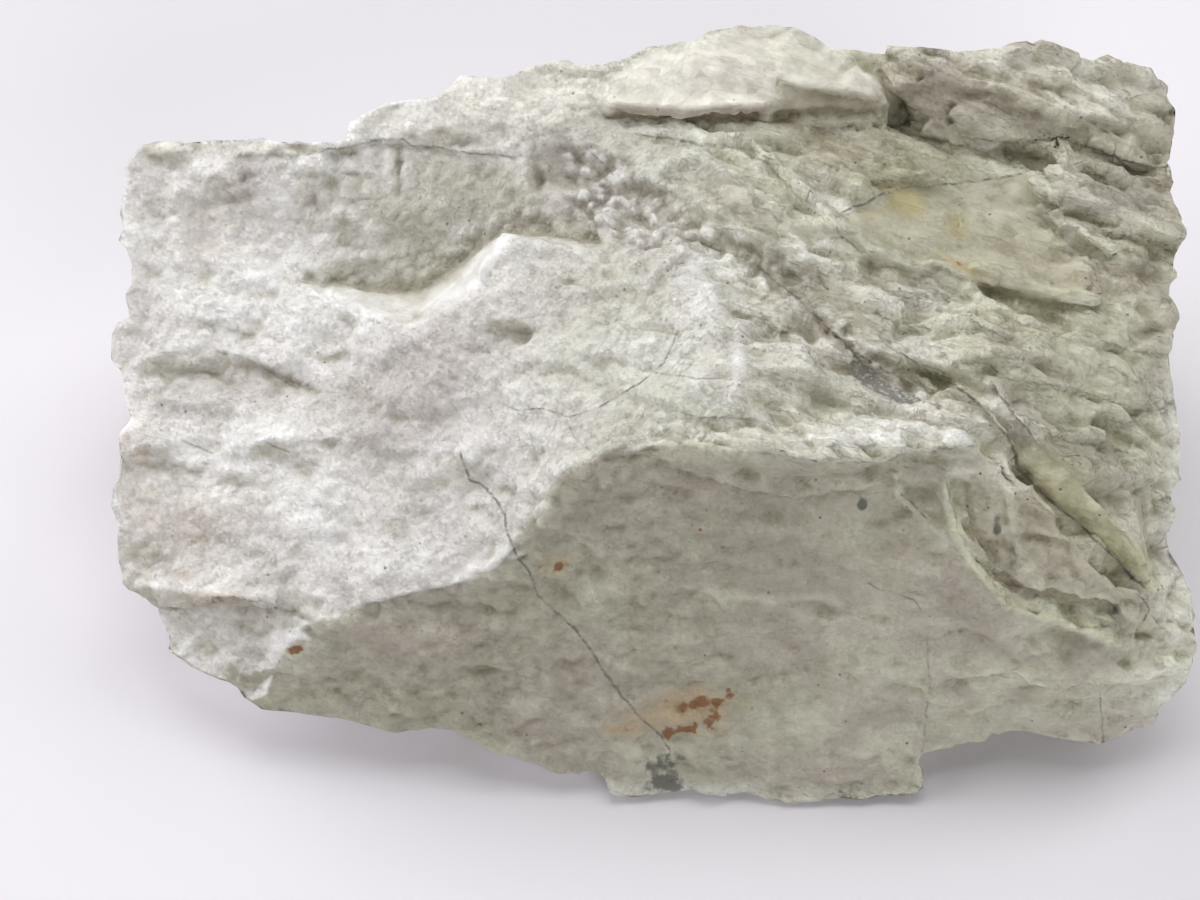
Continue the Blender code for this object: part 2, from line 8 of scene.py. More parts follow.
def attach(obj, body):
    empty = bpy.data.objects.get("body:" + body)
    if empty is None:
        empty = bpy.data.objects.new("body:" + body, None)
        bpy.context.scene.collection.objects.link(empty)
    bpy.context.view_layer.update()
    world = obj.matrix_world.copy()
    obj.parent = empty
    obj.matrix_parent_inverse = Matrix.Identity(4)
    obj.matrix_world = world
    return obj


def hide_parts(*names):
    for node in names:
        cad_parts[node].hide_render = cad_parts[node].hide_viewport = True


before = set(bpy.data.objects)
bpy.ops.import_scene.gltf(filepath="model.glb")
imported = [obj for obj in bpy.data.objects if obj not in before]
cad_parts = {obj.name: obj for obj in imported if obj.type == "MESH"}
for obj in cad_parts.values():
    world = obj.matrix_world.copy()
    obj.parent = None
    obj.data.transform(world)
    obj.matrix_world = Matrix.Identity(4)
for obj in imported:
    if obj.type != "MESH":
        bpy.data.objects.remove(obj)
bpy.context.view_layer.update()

# ---------------------------------------------------------------------------------------------
# The stone's body: one lump of amblygonite as it broke out of a pegmatite, massive and sugary
# at its left end, parting into fibrous plates at its right, and cut off in front by one plane.
# Its form is the solid's, made fine enough here to carry the small relief of a broken surface.

MM = 0.001
FACING = Vector((0, -0.57, 0.82))  # front and up, the side that is kept finest
CUTS = 4  # in each edge of the solid's triangles
PAST_THE_RIM = -0.2  # how far a face is turned from that side before it is thinned out
BEHIND_KEPT = 0.65  # the share of the fine triangles that the back and the underside keep
ROUNDING = 0.5
BASE_HEIGHT = 0.2 * MM  # below this is the flat base

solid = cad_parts["amblygonite"]
bpy.ops.object.select_all(action="DESELECT")
stone = bpy.data.objects.new("stone", solid.data.copy())
bpy.context.scene.collection.objects.link(stone)
stone.select_set(True)
bpy.context.view_layer.objects.active = stone
bpy.ops.object.mode_set(mode="EDIT")
bpy.ops.mesh.select_all(action="SELECT")
bpy.ops.mesh.remove_doubles(threshold=0.001 * MM)
bpy.ops.mesh.subdivide(number_cuts=CUTS)
bpy.ops.mesh.select_mode(type="FACE")
bpy.ops.mesh.select_all(action="DESELECT")
bpy.ops.object.mode_set(mode="OBJECT")
for face in stone.data.polygons:
    face.select = face.normal.dot(FACING) < PAST_THE_RIM
bpy.ops.object.mode_set(mode="EDIT")
bpy.ops.mesh.decimate(ratio=BEHIND_KEPT)
bpy.ops.object.mode_set(mode="OBJECT")
on_base = [v.index for v in stone.data.vertices if v.co.z < BASE_HEIGHT]
above_base = stone.vertex_groups.new(name="above base")
above_base.add([v.index for v in stone.data.vertices], 1, "REPLACE")
above_base.add(on_base, 0, "REPLACE")
rounding = stone.modifiers.new("rounding", "SMOOTH")
rounding.factor = ROUNDING
rounding.vertex_group = "above base"
bpy.ops.object.modifier_apply(modifier="rounding")


def places_of(mesh):
    places = np.empty(len(mesh.vertices) * 3)
    mesh.vertices.foreach_get("co", places)
    return places.reshape(-1, 3)


def normals_of(mesh):
    normals = np.empty(len(mesh.vertices) * 3)
    mesh.vertex_normals.foreach_get("vector", normals)
    return normals.reshape(-1, 3)


def move_out(heights):
    """Moves each point of the stone along its normal, in millimetres, and keeps the base flat."""
    moved = places_of(stone.data) + normals_of(stone.data) * (heights * MM)[:, None]
    moved[on_base] = places_of(stone.data)[on_base]
    moved[:, 2] = np.maximum(moved[:, 2], 0)
    stone.data.vertices.foreach_set("co", moved.ravel())
    stone.data.update()


# Marks on the stone are placed on a drawing of it, as the eye sees it from in front and above:
# x runs to the right and y down, in drawing units, and the sight rays carry them to the stone.

UNIT = 119 * MM / 1085  # one drawing unit, about 0.11 mm
DRAWING = (1200, 900)
EYE_ELEVATION = math.radians(55)
EYE_DISTANCE = 620 * MM
AIM = np.array([-5.383, -5.547, 20]) * MM
RIGHT = np.array([1, 0, 0])
UP = np.array([0, math.sin(EYE_ELEVATION), math.cos(EYE_ELEVATION)])
FORWARD = np.array([0, math.cos(EYE_ELEVATION), -math.sin(EYE_ELEVATION)])
EYE = AIM - FORWARD * EYE_DISTANCE


def smooth_step(low, high, values):
    part = np.clip((values - low) / (high - low), 0, 1)
    return part * part * (3 - 2 * part)


def random_heights(places, size, seed, octaves=1):
    """Soft random heights, from about -1 to 1, whose lumps have this size."""
    moved = (places / size + seed * 17.3).tolist()
    if octaves == 1:
        found = [noise.noise(place) for place in moved]
    else:
        found = [noise.fractal(place, 0.9, 2.1, octaves) for place in moved]
    return np.array(found)


def drawn(places):
    """Where places on the stone, in millimetres, fall on the drawing."""
    ray = places * MM - EYE
    scale = EYE_DISTANCE / (ray @ FORWARD) / UNIT
    return DRAWING[0] / 2 + ray @ RIGHT * scale, DRAWING[1] / 2 - ray @ UP * scale


def facing_eye(places, normals):
    """1 where the surface faces the drawing's eye, 0 where it is edge-on, and below 0 past that."""
    ray = places * MM - EYE
    return -(ray * normals).sum(1) / np.linalg.norm(ray, axis=1)


places = places_of(stone.data) / MM
across, down = drawn(places)
outward = normals_of(stone.data)
seen = smooth_step(-0.02, 0.15, facing_eye(places, outward))
on_drawing = np.stack([across, down, np.zeros_like(across)], 1)
# No broken edge is straight, so drawn lines and outlines wander by this much.
WANDER_FINE = 2.2 * random_heights(on_drawing, 11, 1) + 1.2 * random_heights(on_drawing, 5, 2)
WANDER_WIDE = 9 * random_heights(on_drawing, 45, 3) + 4 * random_heights(on_drawing, 16, 4)


def from_line(line):
    """How far each point is from a drawn line, positive above it, and its share of the way along."""
    ends = np.array(line, float)
    step = np.diff(ends, axis=0)
    length = np.hypot(step[:, 0], step[:, 1])
    to_across = across[:, None] - ends[:-1, 0]
    to_down = down[:, None] - ends[:-1, 1]
    part = np.clip((to_across * step[:, 0] + to_down * step[:, 1]) / length**2, 0, 1)
    gap = np.hypot(to_across - part * step[:, 0], to_down - part * step[:, 1])
    nearest = gap.argmin(1)
    row = np.arange(len(nearest))
    side = step[nearest, 1] * to_across[row, nearest] - step[nearest, 0] * to_down[row, nearest]
    before = np.concatenate([[0], np.cumsum(length)[:-1]])
    way = (before[nearest] + part[row, nearest] * length[nearest]) / length.sum()
    return gap[row, nearest] * np.where(side >= 0, 1, -1), way


def inside(outline, feather, wander=1.0):
    """1 inside a drawn outline and 0 outside it, with a soft edge this wide that wanders a little."""
    gap, _ = from_line(outline + outline[:1])
    within = np.zeros(len(across), bool)
    for (x0, y0), (x1, y1) in zip(outline, outline[1:] + outline[:1]):
        if y0 != y1:
            crossed = (down > min(y0, y1)) & (down <= max(y0, y1))
            within ^= crossed & (across < x0 + (down - y0) / (y1 - y0) * (x1 - x0))
    gap = np.abs(gap) * np.where(within, 1, -1)
    return smooth_step(-feather / 2, feather / 2, gap + wander * WANDER_WIDE) * seen


def spot(x, y, wide, high, turned=0):
    """1 at the middle of a drawn spot, falling softly to 0 past its half width and half height."""
    turn = math.radians(turned)
    beside = (across - x) * math.cos(turn) + (down - y) * math.sin(turn)
    beneath = (down - y) * math.cos(turn) - (across - x) * math.sin(turn)
    return np.exp(-((beside / wide) ** 2) - (beneath / high) ** 2) * seen


def tapered(way, share):
    """1 along a line, falling to 0 over this share of it at each end."""
    return smooth_step(0, share, way) * smooth_step(0, share, 1 - way)


def ledge(line, rise, above, below):
    """A step down across a drawn line, raised above it and undercut beneath it, lower at its ends."""
    gap, way = from_line(line)
    gap = gap + WANDER_FINE
    height = rise * tapered(way, 0.14) * (0.8 + 0.5 * random_heights(on_drawing, 30, 5))
    upper = smooth_step(-2.2, 2.2, gap)
    raised = upper * np.exp(-np.maximum(gap, 0) / above)
    sunk = (1 - upper) * np.exp(-np.maximum(-gap, 0) / below)
    return height * (raised - 0.7 * sunk) * seen


def rib(line, rise, width):
    """A narrow raised rib along a drawn line, lower towards its ends."""
    gap, way = from_line(line)
    return rise * tapered(way, 0.12) * np.exp(-(((gap + WANDER_FINE) / width) ** 2)) * seen


def band(line, half_width, feather=2.5):
    """1 within a drawn line's half width, falling to 0 past it and towards its ends."""
    gap, way = from_line(line)
    gap = np.abs(gap + 0.6 * WANDER_FINE)
    past = smooth_step(half_width - feather / 2, half_width + feather / 2, gap)
    return tapered(way, 0.08) * (1 - past) * seen


# The zones of the broken surface, from 0 to 1 at each point.

front = smooth_step(0.5, 0.72, -outward[:, 1]) * smooth_step(1.5, 4, places[:, 2])
rightward = smooth_step(-10, 26, places[:, 0] + 5 * random_heights(places, 14, 6))
centre = smooth_step(-24, -8, places[:, 0] + 5 * random_heights(places, 14, 7)) * (1 - rightward)
scar = inside([
    (306, 165), (345, 149), (402, 143), (530, 160), (562, 232), (505, 228), (488, 258), (440, 300),
    (404, 318), (330, 292), (303, 272),
], 22)
beads = inside([
    (560, 145), (600, 150), (640, 172), (712, 225), (790, 262), (865, 345), (930, 392), (915, 412),
    (845, 366), (765, 285), (700, 252), (640, 250), (575, 225),
], 14)
block = inside([
    (885, 60), (920, 48), (1165, 66), (1182, 150), (1180, 235), (1085, 225), (1030, 210), (1045, 150),
    (950, 140), (900, 118),
], 12)
lobe = inside([
    (600, 112), (612, 80), (650, 55), (720, 30), (800, 24), (830, 44), (850, 60), (890, 85), (892, 108),
    (860, 112), (770, 112), (690, 116),
], 8, 0.4)
plate = inside([
    (833, 220), (866, 203), (900, 188), (1032, 172), (1030, 215), (1070, 262), (1095, 296), (1040, 298),
    (985, 282), (925, 262), (860, 240),
], 12)
riser = inside([
    (300, 278), (333, 284), (380, 291), (420, 292), (440, 274), (470, 258), (498, 235), (510, 238),
    (494, 264), (483, 282), (453, 300), (404, 321), (375, 319), (341, 304),
], 3, 0.15)
smooth_slope = inside([
    (1018, 446), (1046, 446), (1072, 472), (1104, 507), (1136, 536), (1158, 566), (1166, 592),
    (1152, 590), (1123, 567), (1088, 532), (1056, 509), (1018, 477),
], 18, 0.5)
valley = inside([
    (962, 470), (1012, 452), (1050, 500), (1100, 552), (1142, 600), (1135, 640), (1100, 600),
    (1040, 590), (1003, 576), (968, 535),
], 34)
lobe_side = inside([
    (776, 74), (800, 84), (840, 90), (884, 96), (886, 116), (840, 122), (776, 120),
], 4, 0.3)
glassy = inside([
    (850, 357), (862, 362), (886, 384), (912, 392), (922, 404), (900, 405), (872, 392), (857, 376),
], 4, 0.3)
calm = np.clip(1 - 0.8 * riser - 0.25 * smooth_slope - 0.6 * glassy - 0.75 * lobe - 0.6 * plate, 0.1, 1)
massive = 1 - rightward

# Relief that runs all over the stone, in millimetres.


def stretched(trend, longer):
    """Places squeezed along a trend, in degrees down to the right: lumps then lie along it."""
    turn = math.radians(trend)
    way = math.cos(turn) * RIGHT - math.sin(turn) * UP
    along = places @ way
    return places - np.outer(along * (1 - 1 / longer), way)


def plates(trend, spacing, rise, seed):
    """Overlapping plates along a trend: each rises slowly to a scalloped edge that faces down."""
    turn = math.radians(trend)
    fall = -math.sin(turn) * RIGHT - math.cos(turn) * UP
    wander = 1.1 * random_heights(stretched(trend, 2.5), spacing * 2.6, seed)
    wander += 0.25 * random_heights(places, spacing * 0.8, seed + 1)
    rows = places @ fall / spacing + wander
    part = rows - np.floor(rows)
    each_row = stretched(trend, 2) + 9.7 * np.floor(rows)[:, None]
    size = 0.45 + 0.9 * random_heights(each_row, spacing * 2.2, seed + 2)
    return rise * np.clip(size, 0, 1.2) * (part - smooth_step(0.84, 1, part))


STIR = np.array([[12.99, 39.35, 73.16], [78.23, 11.14, 52.24], [37.72, 83.16, 9.15]])


def shuffled(places):
    """Three numbers from 0 to 1 for each place, which look random but stay the same for one place."""
    swing = np.sin(places @ STIR) * 437.5
    return swing - np.floor(swing)


def shards(size, height, seed, trend=0, longer=1):
    """Low pyramids with flat sides and sharp edges, packed side by side, each of its own height."""
    far = np.empty(len(places))
    middles = np.empty((len(places), 3))
    for row, place in enumerate((stretched(trend, longer) / size + seed * 3.3).tolist()):
        gaps, nearest = noise.voronoi(place, distance_metric="MANHATTAN")
        far[row], middles[row] = gaps[0], nearest[0]
    return height * (0.8 - far) * shuffled(middles)[:, 0]


def knobs(size, height, seed, trend=0, longer=1):
    """Rounded knobs packed side by side, with creases between them."""
    found = np.empty(len(places))
    for row, place in enumerate((stretched(trend, longer) / size + seed * 5.1).tolist()):
        near, next_near = noise.voronoi(place)[0][:2]
        found[row] = min(next_near - near, 0.6) - 0.5 * near
    return height * found


def chips(size, height, seed, trend=0, longer=1):
    """Small flat breaks that each slope their own way, with narrow ridges and steps between them."""
    spots = stretched(trend, longer) / size + seed * 7.7
    far = np.empty((len(spots), 4))
    middles = np.empty((len(spots), 4, 3))
    for row, place in enumerate(spots.tolist()):
        far[row], middles[row] = noise.voronoi(place)
    slopes = 2 * shuffled(middles) - 1
    planes = (slopes * (spots[:, None] - middles)).sum(2) + 0.25 * slopes[:, :, 0]
    share = np.exp(-26 * (far - far[:, :1]))
    return height * (planes * share).sum(1) / share.sum(1)


face_on = 0.1 + 0.9 * smooth_step(0.06, 0.5, np.abs(facing_eye(places, outward)))
relief = massive * (1 - scar) * (
    0.45 * random_heights(stretched(-4, 2.0), 5.5, 10)
    + 0.22 * random_heights(stretched(-10, 1.6), 2.4, 11)
    + chips(5.5, 0.5, 12, -5, 1.6)
    + shards(2.6, 0.45, 13, -5, 1.3)
    + knobs(1.5, 0.42, 14, -20, 1.4)
)
fibrous_relief = (
    plates(17, 6.2, 2.0, 20)
    + plates(28, 2.9, 0.9, 24)
    + chips(5.0, 1.6, 26, 20, 2.0)
    + shards(3.4, 2.0, 27, 20, 2.4)
    + shards(1.6, 1.0, 28, 20, 1.8)
)
fibrous_relief -= np.average(fibrous_relief, weights=rightward)
relief += (rightward + 0.35 * centre) * (1 - front) * fibrous_relief
relief += scar * (
    0.45 * random_heights(stretched(-48, 2.2), 2.6, 30)
    + knobs(1.5, 0.6, 31, -50, 1.7)
    + chips(3.0, 0.4, 32, -45, 1.8)
)
relief += beads * (knobs(3.2, 1.0, 33, 40, 1.5) + knobs(1.5, 0.7, 35) + shards(1.9, 0.9, 34, 60, 1.4))
relief += block * (0.5 * random_heights(stretched(14, 1.8), 2.6, 36) + plates(12, 3.1, 0.7, 37))
relief += front * (
    chips(7, 0.7, 38, 8, 2.0)
    + chips(2.6, 0.4, 39, 8, 1.6)
    + shards(1.4, 0.3, 40, 8, 1.6)
    + 0.12 * random_heights(places, 1.3, 40, 2)
    + 0.8 * smooth_step(860, 960, across) * shards(3.0, 1.0, 41, 25, 1.8)
)
relief += valley * (chips(3.4, 1.5, 42, 40, 1.8) + shards(1.8, 0.8, 43, 40, 1.6))
relief -= 0.9 * lobe_side
relief *= calm * face_on

# Broad steps, lumps and pits that are seen one by one.

LEDGES = [  # a line, its rise, and how far it reaches above and below
    ([(345, 612), (402, 597), (455, 585), (500, 562), (516, 543), (548, 505), (562, 478), (594, 455),
      (655, 457), (724, 475)], 0.5, 20, 16),
    ([(735, 452), (760, 452), (800, 459), (836, 463), (880, 462), (925, 452), (978, 447)], 1.0, 18, 12),
    ([(655, 463), (700, 474), (742, 487), (783, 497), (830, 492), (888, 486)], 0.8, 16, 9),
    ([(297, 281), (322, 292), (341, 303), (375, 318), (404, 320), (430, 311), (453, 298), (482, 280),
      (490, 250), (502, 235)], 0.35, 9, 14),
    ([(300, 155), (340, 148), (380, 140), (412, 146), (460, 152), (530, 157)], 0.6, 12, 12),
    ([(606, 106), (640, 112), (680, 114), (720, 110), (775, 112)], 0.9, 9, 6),
    ([(618, 131), (660, 137), (700, 146), (745, 149), (768, 164), (786, 184), (806, 206), (830, 224)],
     1.0, 10, 8),
    ([(776, 62), (778, 90), (772, 114)], 0.7, 10, 8),
    ([(780, 84), (830, 96), (885, 104)], 0.7, 12, 8),
    ([(885, 98), (900, 120), (935, 137), (975, 150)], 0.6, 12, 8),
    ([(955, 136), (1000, 141), (1060, 139), (1100, 151), (1140, 166), (1170, 172)], 1.1, 10, 7),
    ([(833, 220), (866, 203), (900, 188), (950, 184), (1000, 178), (1032, 170)], 0.35, 10, 8),
    ([(975, 279), (1010, 291), (1040, 298), (1105, 303)], 0.7, 10, 8),
    ([(1095, 229), (1140, 236), (1165, 246), (1182, 240)], 1.1, 10, 8),
    ([(1100, 340), (1130, 350), (1172, 356)], 1.2, 10, 10),
    ([(895, 352), (925, 366), (945, 372), (965, 363), (990, 364), (1004, 378)], 1.0, 10, 7),
    ([(1000, 378), (1040, 384), (1068, 386), (1108, 400), (1150, 414)], 1.2, 12, 9),
    ([(850, 300), (885, 318), (930, 330), (985, 336)], 1.0, 12, 8),
    ([(675, 413), (700, 418), (740, 419), (762, 421)], 0.4, 7, 6),
    ([(1003, 575), (1040, 590), (1105, 602), (1140, 628)], 0.7, 8, 10),
    ([(925, 692), (950, 682), (1020, 675), (1045, 681), (1110, 683), (1195, 668)], 0.8, 9, 9),
    ([(150, 612), (175, 605), (230, 597), (268, 603), (292, 614)], 0.7, 10, 8),
    ([(822, 670), (850, 674), (862, 682)], 0.5, 6, 6),
    ([(1130, 180), (1150, 196), (1180, 204)], 0.5, 8, 8),
    ([(1003, 594), (975, 560), (960, 536), (952, 505), (945, 478)], 1.3, 6, 30),
    ([(1040, 430), (1075, 444), (1110, 452), (1150, 470)], 1.0, 9, 8),
    ([(1075, 480), (1110, 488), (1150, 506)], 0.4, 8, 8),
    ([(150, 322), (190, 318), (240, 330), (300, 342)], 0.35, 14, 12),
    ([(205, 345), (250, 360), (300, 384), (340, 392)], 0.4, 12, 10),
    ([(150, 455), (190, 470), (260, 472), (330, 458)], 0.3, 14, 10),
    ([(560, 330), (620, 318), (660, 330)], 0.3, 12, 10),
    ([(720, 300), (760, 312), (790, 330), (812, 350)], 0.9, 12, 9),
    ([(745, 345), (790, 356), (840, 368)], 0.7, 10, 8),
    ([(770, 372), (810, 384), (862, 398), (900, 412)], 0.9, 12, 9),
    ([(780, 425), (840, 432), (905, 436), (975, 446)], 0.6, 9, 7),
    ([(925, 262), (960, 276), (1000, 290)], 0.7, 7, 6),
    ([(640, 300), (668, 270), (690, 256)], 0.5, 12, 8),
]
step_heights = sum(ledge(*each) for each in LEDGES)

BUMPS = [  # a spot and its rise
    (180, 235, 9, 52, -5, 0.6), (206, 215, 13, 40, 0, -0.5), (158, 215, 9, 30, 0, -0.4),
    (268, 374, 60, 11, 15, -0.8), (215, 350, 20, 7, 0, -0.4), (332, 339, 8, 4, 0, -0.4),
    (322, 359, 8, 4, 0, -0.4), (385, 415, 3, 12, 0, 0.5), (396, 420, 8, 10, 0, -0.4),
    (345, 470, 20, 8, 0, 0.4), (425, 476, 12, 8, 0, 0.4), (322, 174, 6, 24, 6, 0.7),
    (334, 174, 5, 20, 6, -0.4), (345, 170, 6, 24, 4, 0.6), (366, 168, 6, 20, 0, 0.4),
    (388, 178, 7, 32, 0, 0.7), (398, 176, 4, 24, 0, -0.5), (408, 170, 6, 22, 0, 0.5),
    (430, 172, 5, 20, -5, 0.4), (528, 178, 5, 20, 0, 0.9), (538, 180, 5, 18, 0, -0.6),
    (610, 220, 12, 15, 0, 0.9), (710, 230, 9, 7, 0, 0.8), (765, 250, 9, 7, 0, 0.7),
    (524, 336, 9, 6, -30, -0.7), (680, 285, 26, 26, -40, 0.6), (762, 325, 18, 16, 0, -0.9),
    (825, 402, 24, 14, -10, -0.9), (738, 368, 7, 40, 6, 0.45), (788, 263, 6, 8, 40, 0.7),
    (801, 286, 9, 11, 50, 0.8), (823, 311, 8, 8, 0, 0.8), (843, 328, 8, 7, 0, 0.7),
    (1050, 165, 9, 26, 25, 0.8), (1036, 195, 6, 16, -10, 0.7), (965, 118, 16, 9, -35, 0.7),
    (895, 110, 7, 12, 0, -1.2), (925, 498, 20, 16, 20, -1.2), (1022, 400, 26, 10, 20, -0.7),
    (1060, 438, 14, 12, 0, -0.7), (1110, 448, 26, 12, 15, -0.6), (1150, 270, 20, 24, 0, -0.5),
    (470, 640, 26, 7, -10, 0.5), (480, 638, 6, 4, 0, 0.4), (1180, 610, 8, 40, 10, 0.4),
    (1112, 645, 20, 9, -12, 0.5), (1062, 640, 24, 8, 5, -0.9), (1145, 612, 5, 14, 10, -0.6),
    (640, 80, 50, 22, 0, 0.5), (745, 60, 50, 26, 0, 0.4), (830, 100, 36, 12, 8, -0.5),
    (800, 600, 22, 14, 10, 0.4), (700, 552, 36, 10, -8, 0.3), (590, 520, 26, 40, 30, 0.3),
    (860, 690, 50, 30, 0, 0.3), (450, 610, 60, 12, -12, -0.3),
]
step_heights += sum(rise * spot(*where) for *where, rise in BUMPS)

RIBS = [  # a line, its rise and its width
    ([(942, 478), (949, 505), (957, 536), (972, 560), (1003, 594)], 0.5, 4),
    ([(706, 141), (750, 146), (771, 162), (791, 183), (808, 204), (832, 221)], 0.8, 4),
    ([(905, 462), (895, 478), (903, 500), (925, 520), (950, 540)], 0.45, 4),
    ([(1045, 430), (1030, 455), (1018, 480)], 0.4, 4),
    ([(985, 80), (1040, 105), (1090, 130), (1140, 165)], 0.5, 6),
    ([(760, 205), (790, 222), (835, 226), (870, 238)], 0.5, 5),
    ([(812, 205), (850, 240), (905, 262), (985, 285)], 0.4, 6),
    ([(560, 478), (548, 505), (533, 530), (512, 546)], 0.35, 6),
    ([(905, 322), (960, 318), (1000, 340)], 0.5, 5),
    ([(1060, 300), (1110, 308), (1165, 330)], 0.5, 6),
    ([(700, 590), (760, 600), (830, 596), (850, 610)], 0.3, 5),
    ([(1085, 634), (1110, 640), (1140, 655)], 0.5, 5),
]
step_heights += sum(rib(*each) for each in RIBS)
heights = step_heights * (0.3 + 0.7 * face_on) + relief
# Where the stone is seen edge-on or not at all, hollows are shallow, so that no thin rim is pierced.
hollow_share = 0.15 + 0.85 * face_on * seen
move_out(np.where(heights < 0, heights * hollow_share, heights))

# Hollows will get painted shade and ridges a painted highlight: how far each point lies below or
# above the broad form round it, in millimetres.

SPREADS = [5, 36]  # fine and wide, as rounds of averaging
ends = np.empty(len(stone.data.edges) * 2, int)
stone.data.edges.foreach_get("vertices", ends)
first_ends, second_ends = ends.reshape(-1, 2).T
ends_at = np.bincount(ends, minlength=len(places))
moved = places_of(stone.data) / MM
spread = moved.copy()
hollows = []
for round_done in range(1, max(SPREADS) + 1):
    summed = np.zeros_like(spread)
    for axis in range(3):
        summed[:, axis] = np.bincount(first_ends, spread[second_ends, axis], len(spread))
        summed[:, axis] += np.bincount(second_ends, spread[first_ends, axis], len(spread))
    spread = summed / ends_at[:, None]
    if round_done in SPREADS:
        hollows.append(((spread - moved) * outward).sum(1))
fine_hollow, wide_hollow = hollows

# Colours and marks are placed on the finished surface.

across, down = drawn(moved)
seen = smooth_step(-0.02, 0.15, facing_eye(moved, normals_of(stone.data)))


# ---------------------------------------------------------------------------------------------
# The mineral's colours: white where it is massive, faintly green and glassy where it parts into
# fibres, grey to violet where it is altered, with iron stains and dark films in its cracks.

# Shade in hollows, steps and crevices and under lips, and light on ridges and at both ends, are painted
# into these colours too.
SUGAR_WHITE = (0.84, 0.82, 0.805)
MAUVE_GREY = (0.60, 0.565, 0.545)
CENTRE_WHITE = (0.64, 0.635, 0.575)
PALE_GREEN = (0.55, 0.54, 0.43)
OLIVE = (0.42, 0.40, 0.275)
FRONT_GREY = (0.41, 0.39, 0.31)
FRONT_PALE = (0.55, 0.54, 0.435)
FRONT_MAUVE = (0.42, 0.375, 0.325)
SCAR_GREY = (0.55, 0.535, 0.465)
BLOCK_GREY = (0.44, 0.405, 0.315)
BEAD_GREY = (0.46, 0.425, 0.39)
CLEAN_WHITE = (0.87, 0.86, 0.85)
CREAM = (0.86, 0.83, 0.76)
LEAF = (0.62, 0.62, 0.50)
SEAM_BROWN_AND_STEP_SHADE = (0.33, 0.295, 0.225)
SLOPE_GREEN = (0.57, 0.555, 0.34)
WARM_CREAM = (0.70, 0.69, 0.56)
WARM_GREY = (0.52, 0.465, 0.41)
VALLEY_FLOOR = (0.56, 0.53, 0.42)
FRONT_DUSK = (0.40, 0.385, 0.30)
VALLEY_TAN = (0.50, 0.44, 0.36)
RIM_CREAM = (0.80, 0.78, 0.70)
BLOCK_UMBER_SHADE = (0.36, 0.325, 0.27)
DEEP_UMBER = (0.25, 0.225, 0.195)
PALE_MAUVE = (0.55, 0.52, 0.50)
PALE_EDGE_AND_LIGHT = (0.88, 0.88, 0.79)
PINK_TINGE = (0.70, 0.62, 0.55)
RUSTY_PINK = (0.66, 0.50, 0.40)
DEEP_MAUVE = (0.50, 0.45, 0.43)
BROWN_FILM_AND_SHADE = (0.45, 0.37, 0.30)
GREY_FILM_AND_SHADE = (0.40, 0.385, 0.36)
GREY_MOTTLE_AND_SHADE = (0.50, 0.47, 0.43)
FRONT_SHADE = (0.33, 0.31, 0.25)
LOBE_SHADE = (0.44, 0.405, 0.325)
LIP_UNDERSIDE_SHADE = (0.46, 0.395, 0.34)
RIM_SHADE = (0.33, 0.32, 0.295)
RIDGE_GREEN = (0.66, 0.66, 0.48)
SLOPE_YELLOW = (0.68, 0.67, 0.50)
SLOPE_BROWN = (0.50, 0.46, 0.37)

tint = np.tile(SUGAR_WHITE, (len(places), 1))


def wash(colour, amount):
    """Lays a thin wash of a colour over the stone's tint."""
    global tint
    tint = tint + (np.array(colour) - tint) * np.clip(amount, 0, 1)[:, None]


broad = random_heights(stretched(-8, 1.8), 9, 40, 3)
patches = random_heights(stretched(18, 2.0), 5.5, 43, 3)
small = random_heights(stretched(5, 1.5), 2.4, 48, 3)
wash(CENTRE_WHITE, smooth_step(-24, -2, places[:, 0] + 6 * random_heights(places, 12, 41)))
green_side = places[:, 0] + 0.25 * places[:, 1] + 8 * random_heights(places, 11, 42)
wash(PALE_GREEN, smooth_step(8, 32, green_side))
wash(LEAF, 0.7 * smooth_step(0.05, 0.5, patches) * rightward)
wash(OLIVE, 0.35 * smooth_step(0.1, 0.6, -patches) * rightward)
tone = random_heights(stretched(20, 2.2), 7, 50, 3)
wash(MAUVE_GREY, 0.75 * smooth_step(0.0, 0.4, broad) * massive * (1 - centre))
wash(CLEAN_WHITE, 0.7 * smooth_step(0.1, 0.5, -broad) * massive * (1 - centre))
wash(FRONT_GREY, front)
wash(FRONT_PALE, front * smooth_step(640, 960, across + 0.6 * down - 420 + 60 * patches))
wash(FRONT_MAUVE, 0.8 * front * smooth_step(0.0, 0.5, broad))
wash(LEAF, 0.35 * front * smooth_step(0.1, 0.5, small))
wash(FRONT_GREY, 0.4 * front * smooth_step(0.1, 0.5, -small))
wash(SCAR_GREY, scar * smooth_step(300, 430, across + 20 * small))
wash(BEAD_GREY, 0.85 * beads)
wash(BLOCK_GREY, 0.9 * block)
wash(WARM_CREAM, 0.45 * smooth_step(0.05, 0.4, -tone) * rightward)
wash(WARM_GREY, 0.55 * smooth_step(0.05, 0.4, tone) * rightward)
wash(CREAM, 0.85 * lobe)
wash(OLIVE, 0.5 * plate)
wash(SLOPE_GREEN, 0.75 * smooth_slope)
wash(VALLEY_FLOOR, 0.6 * valley)
wash(CLEAN_WHITE, 0.75 * riser)

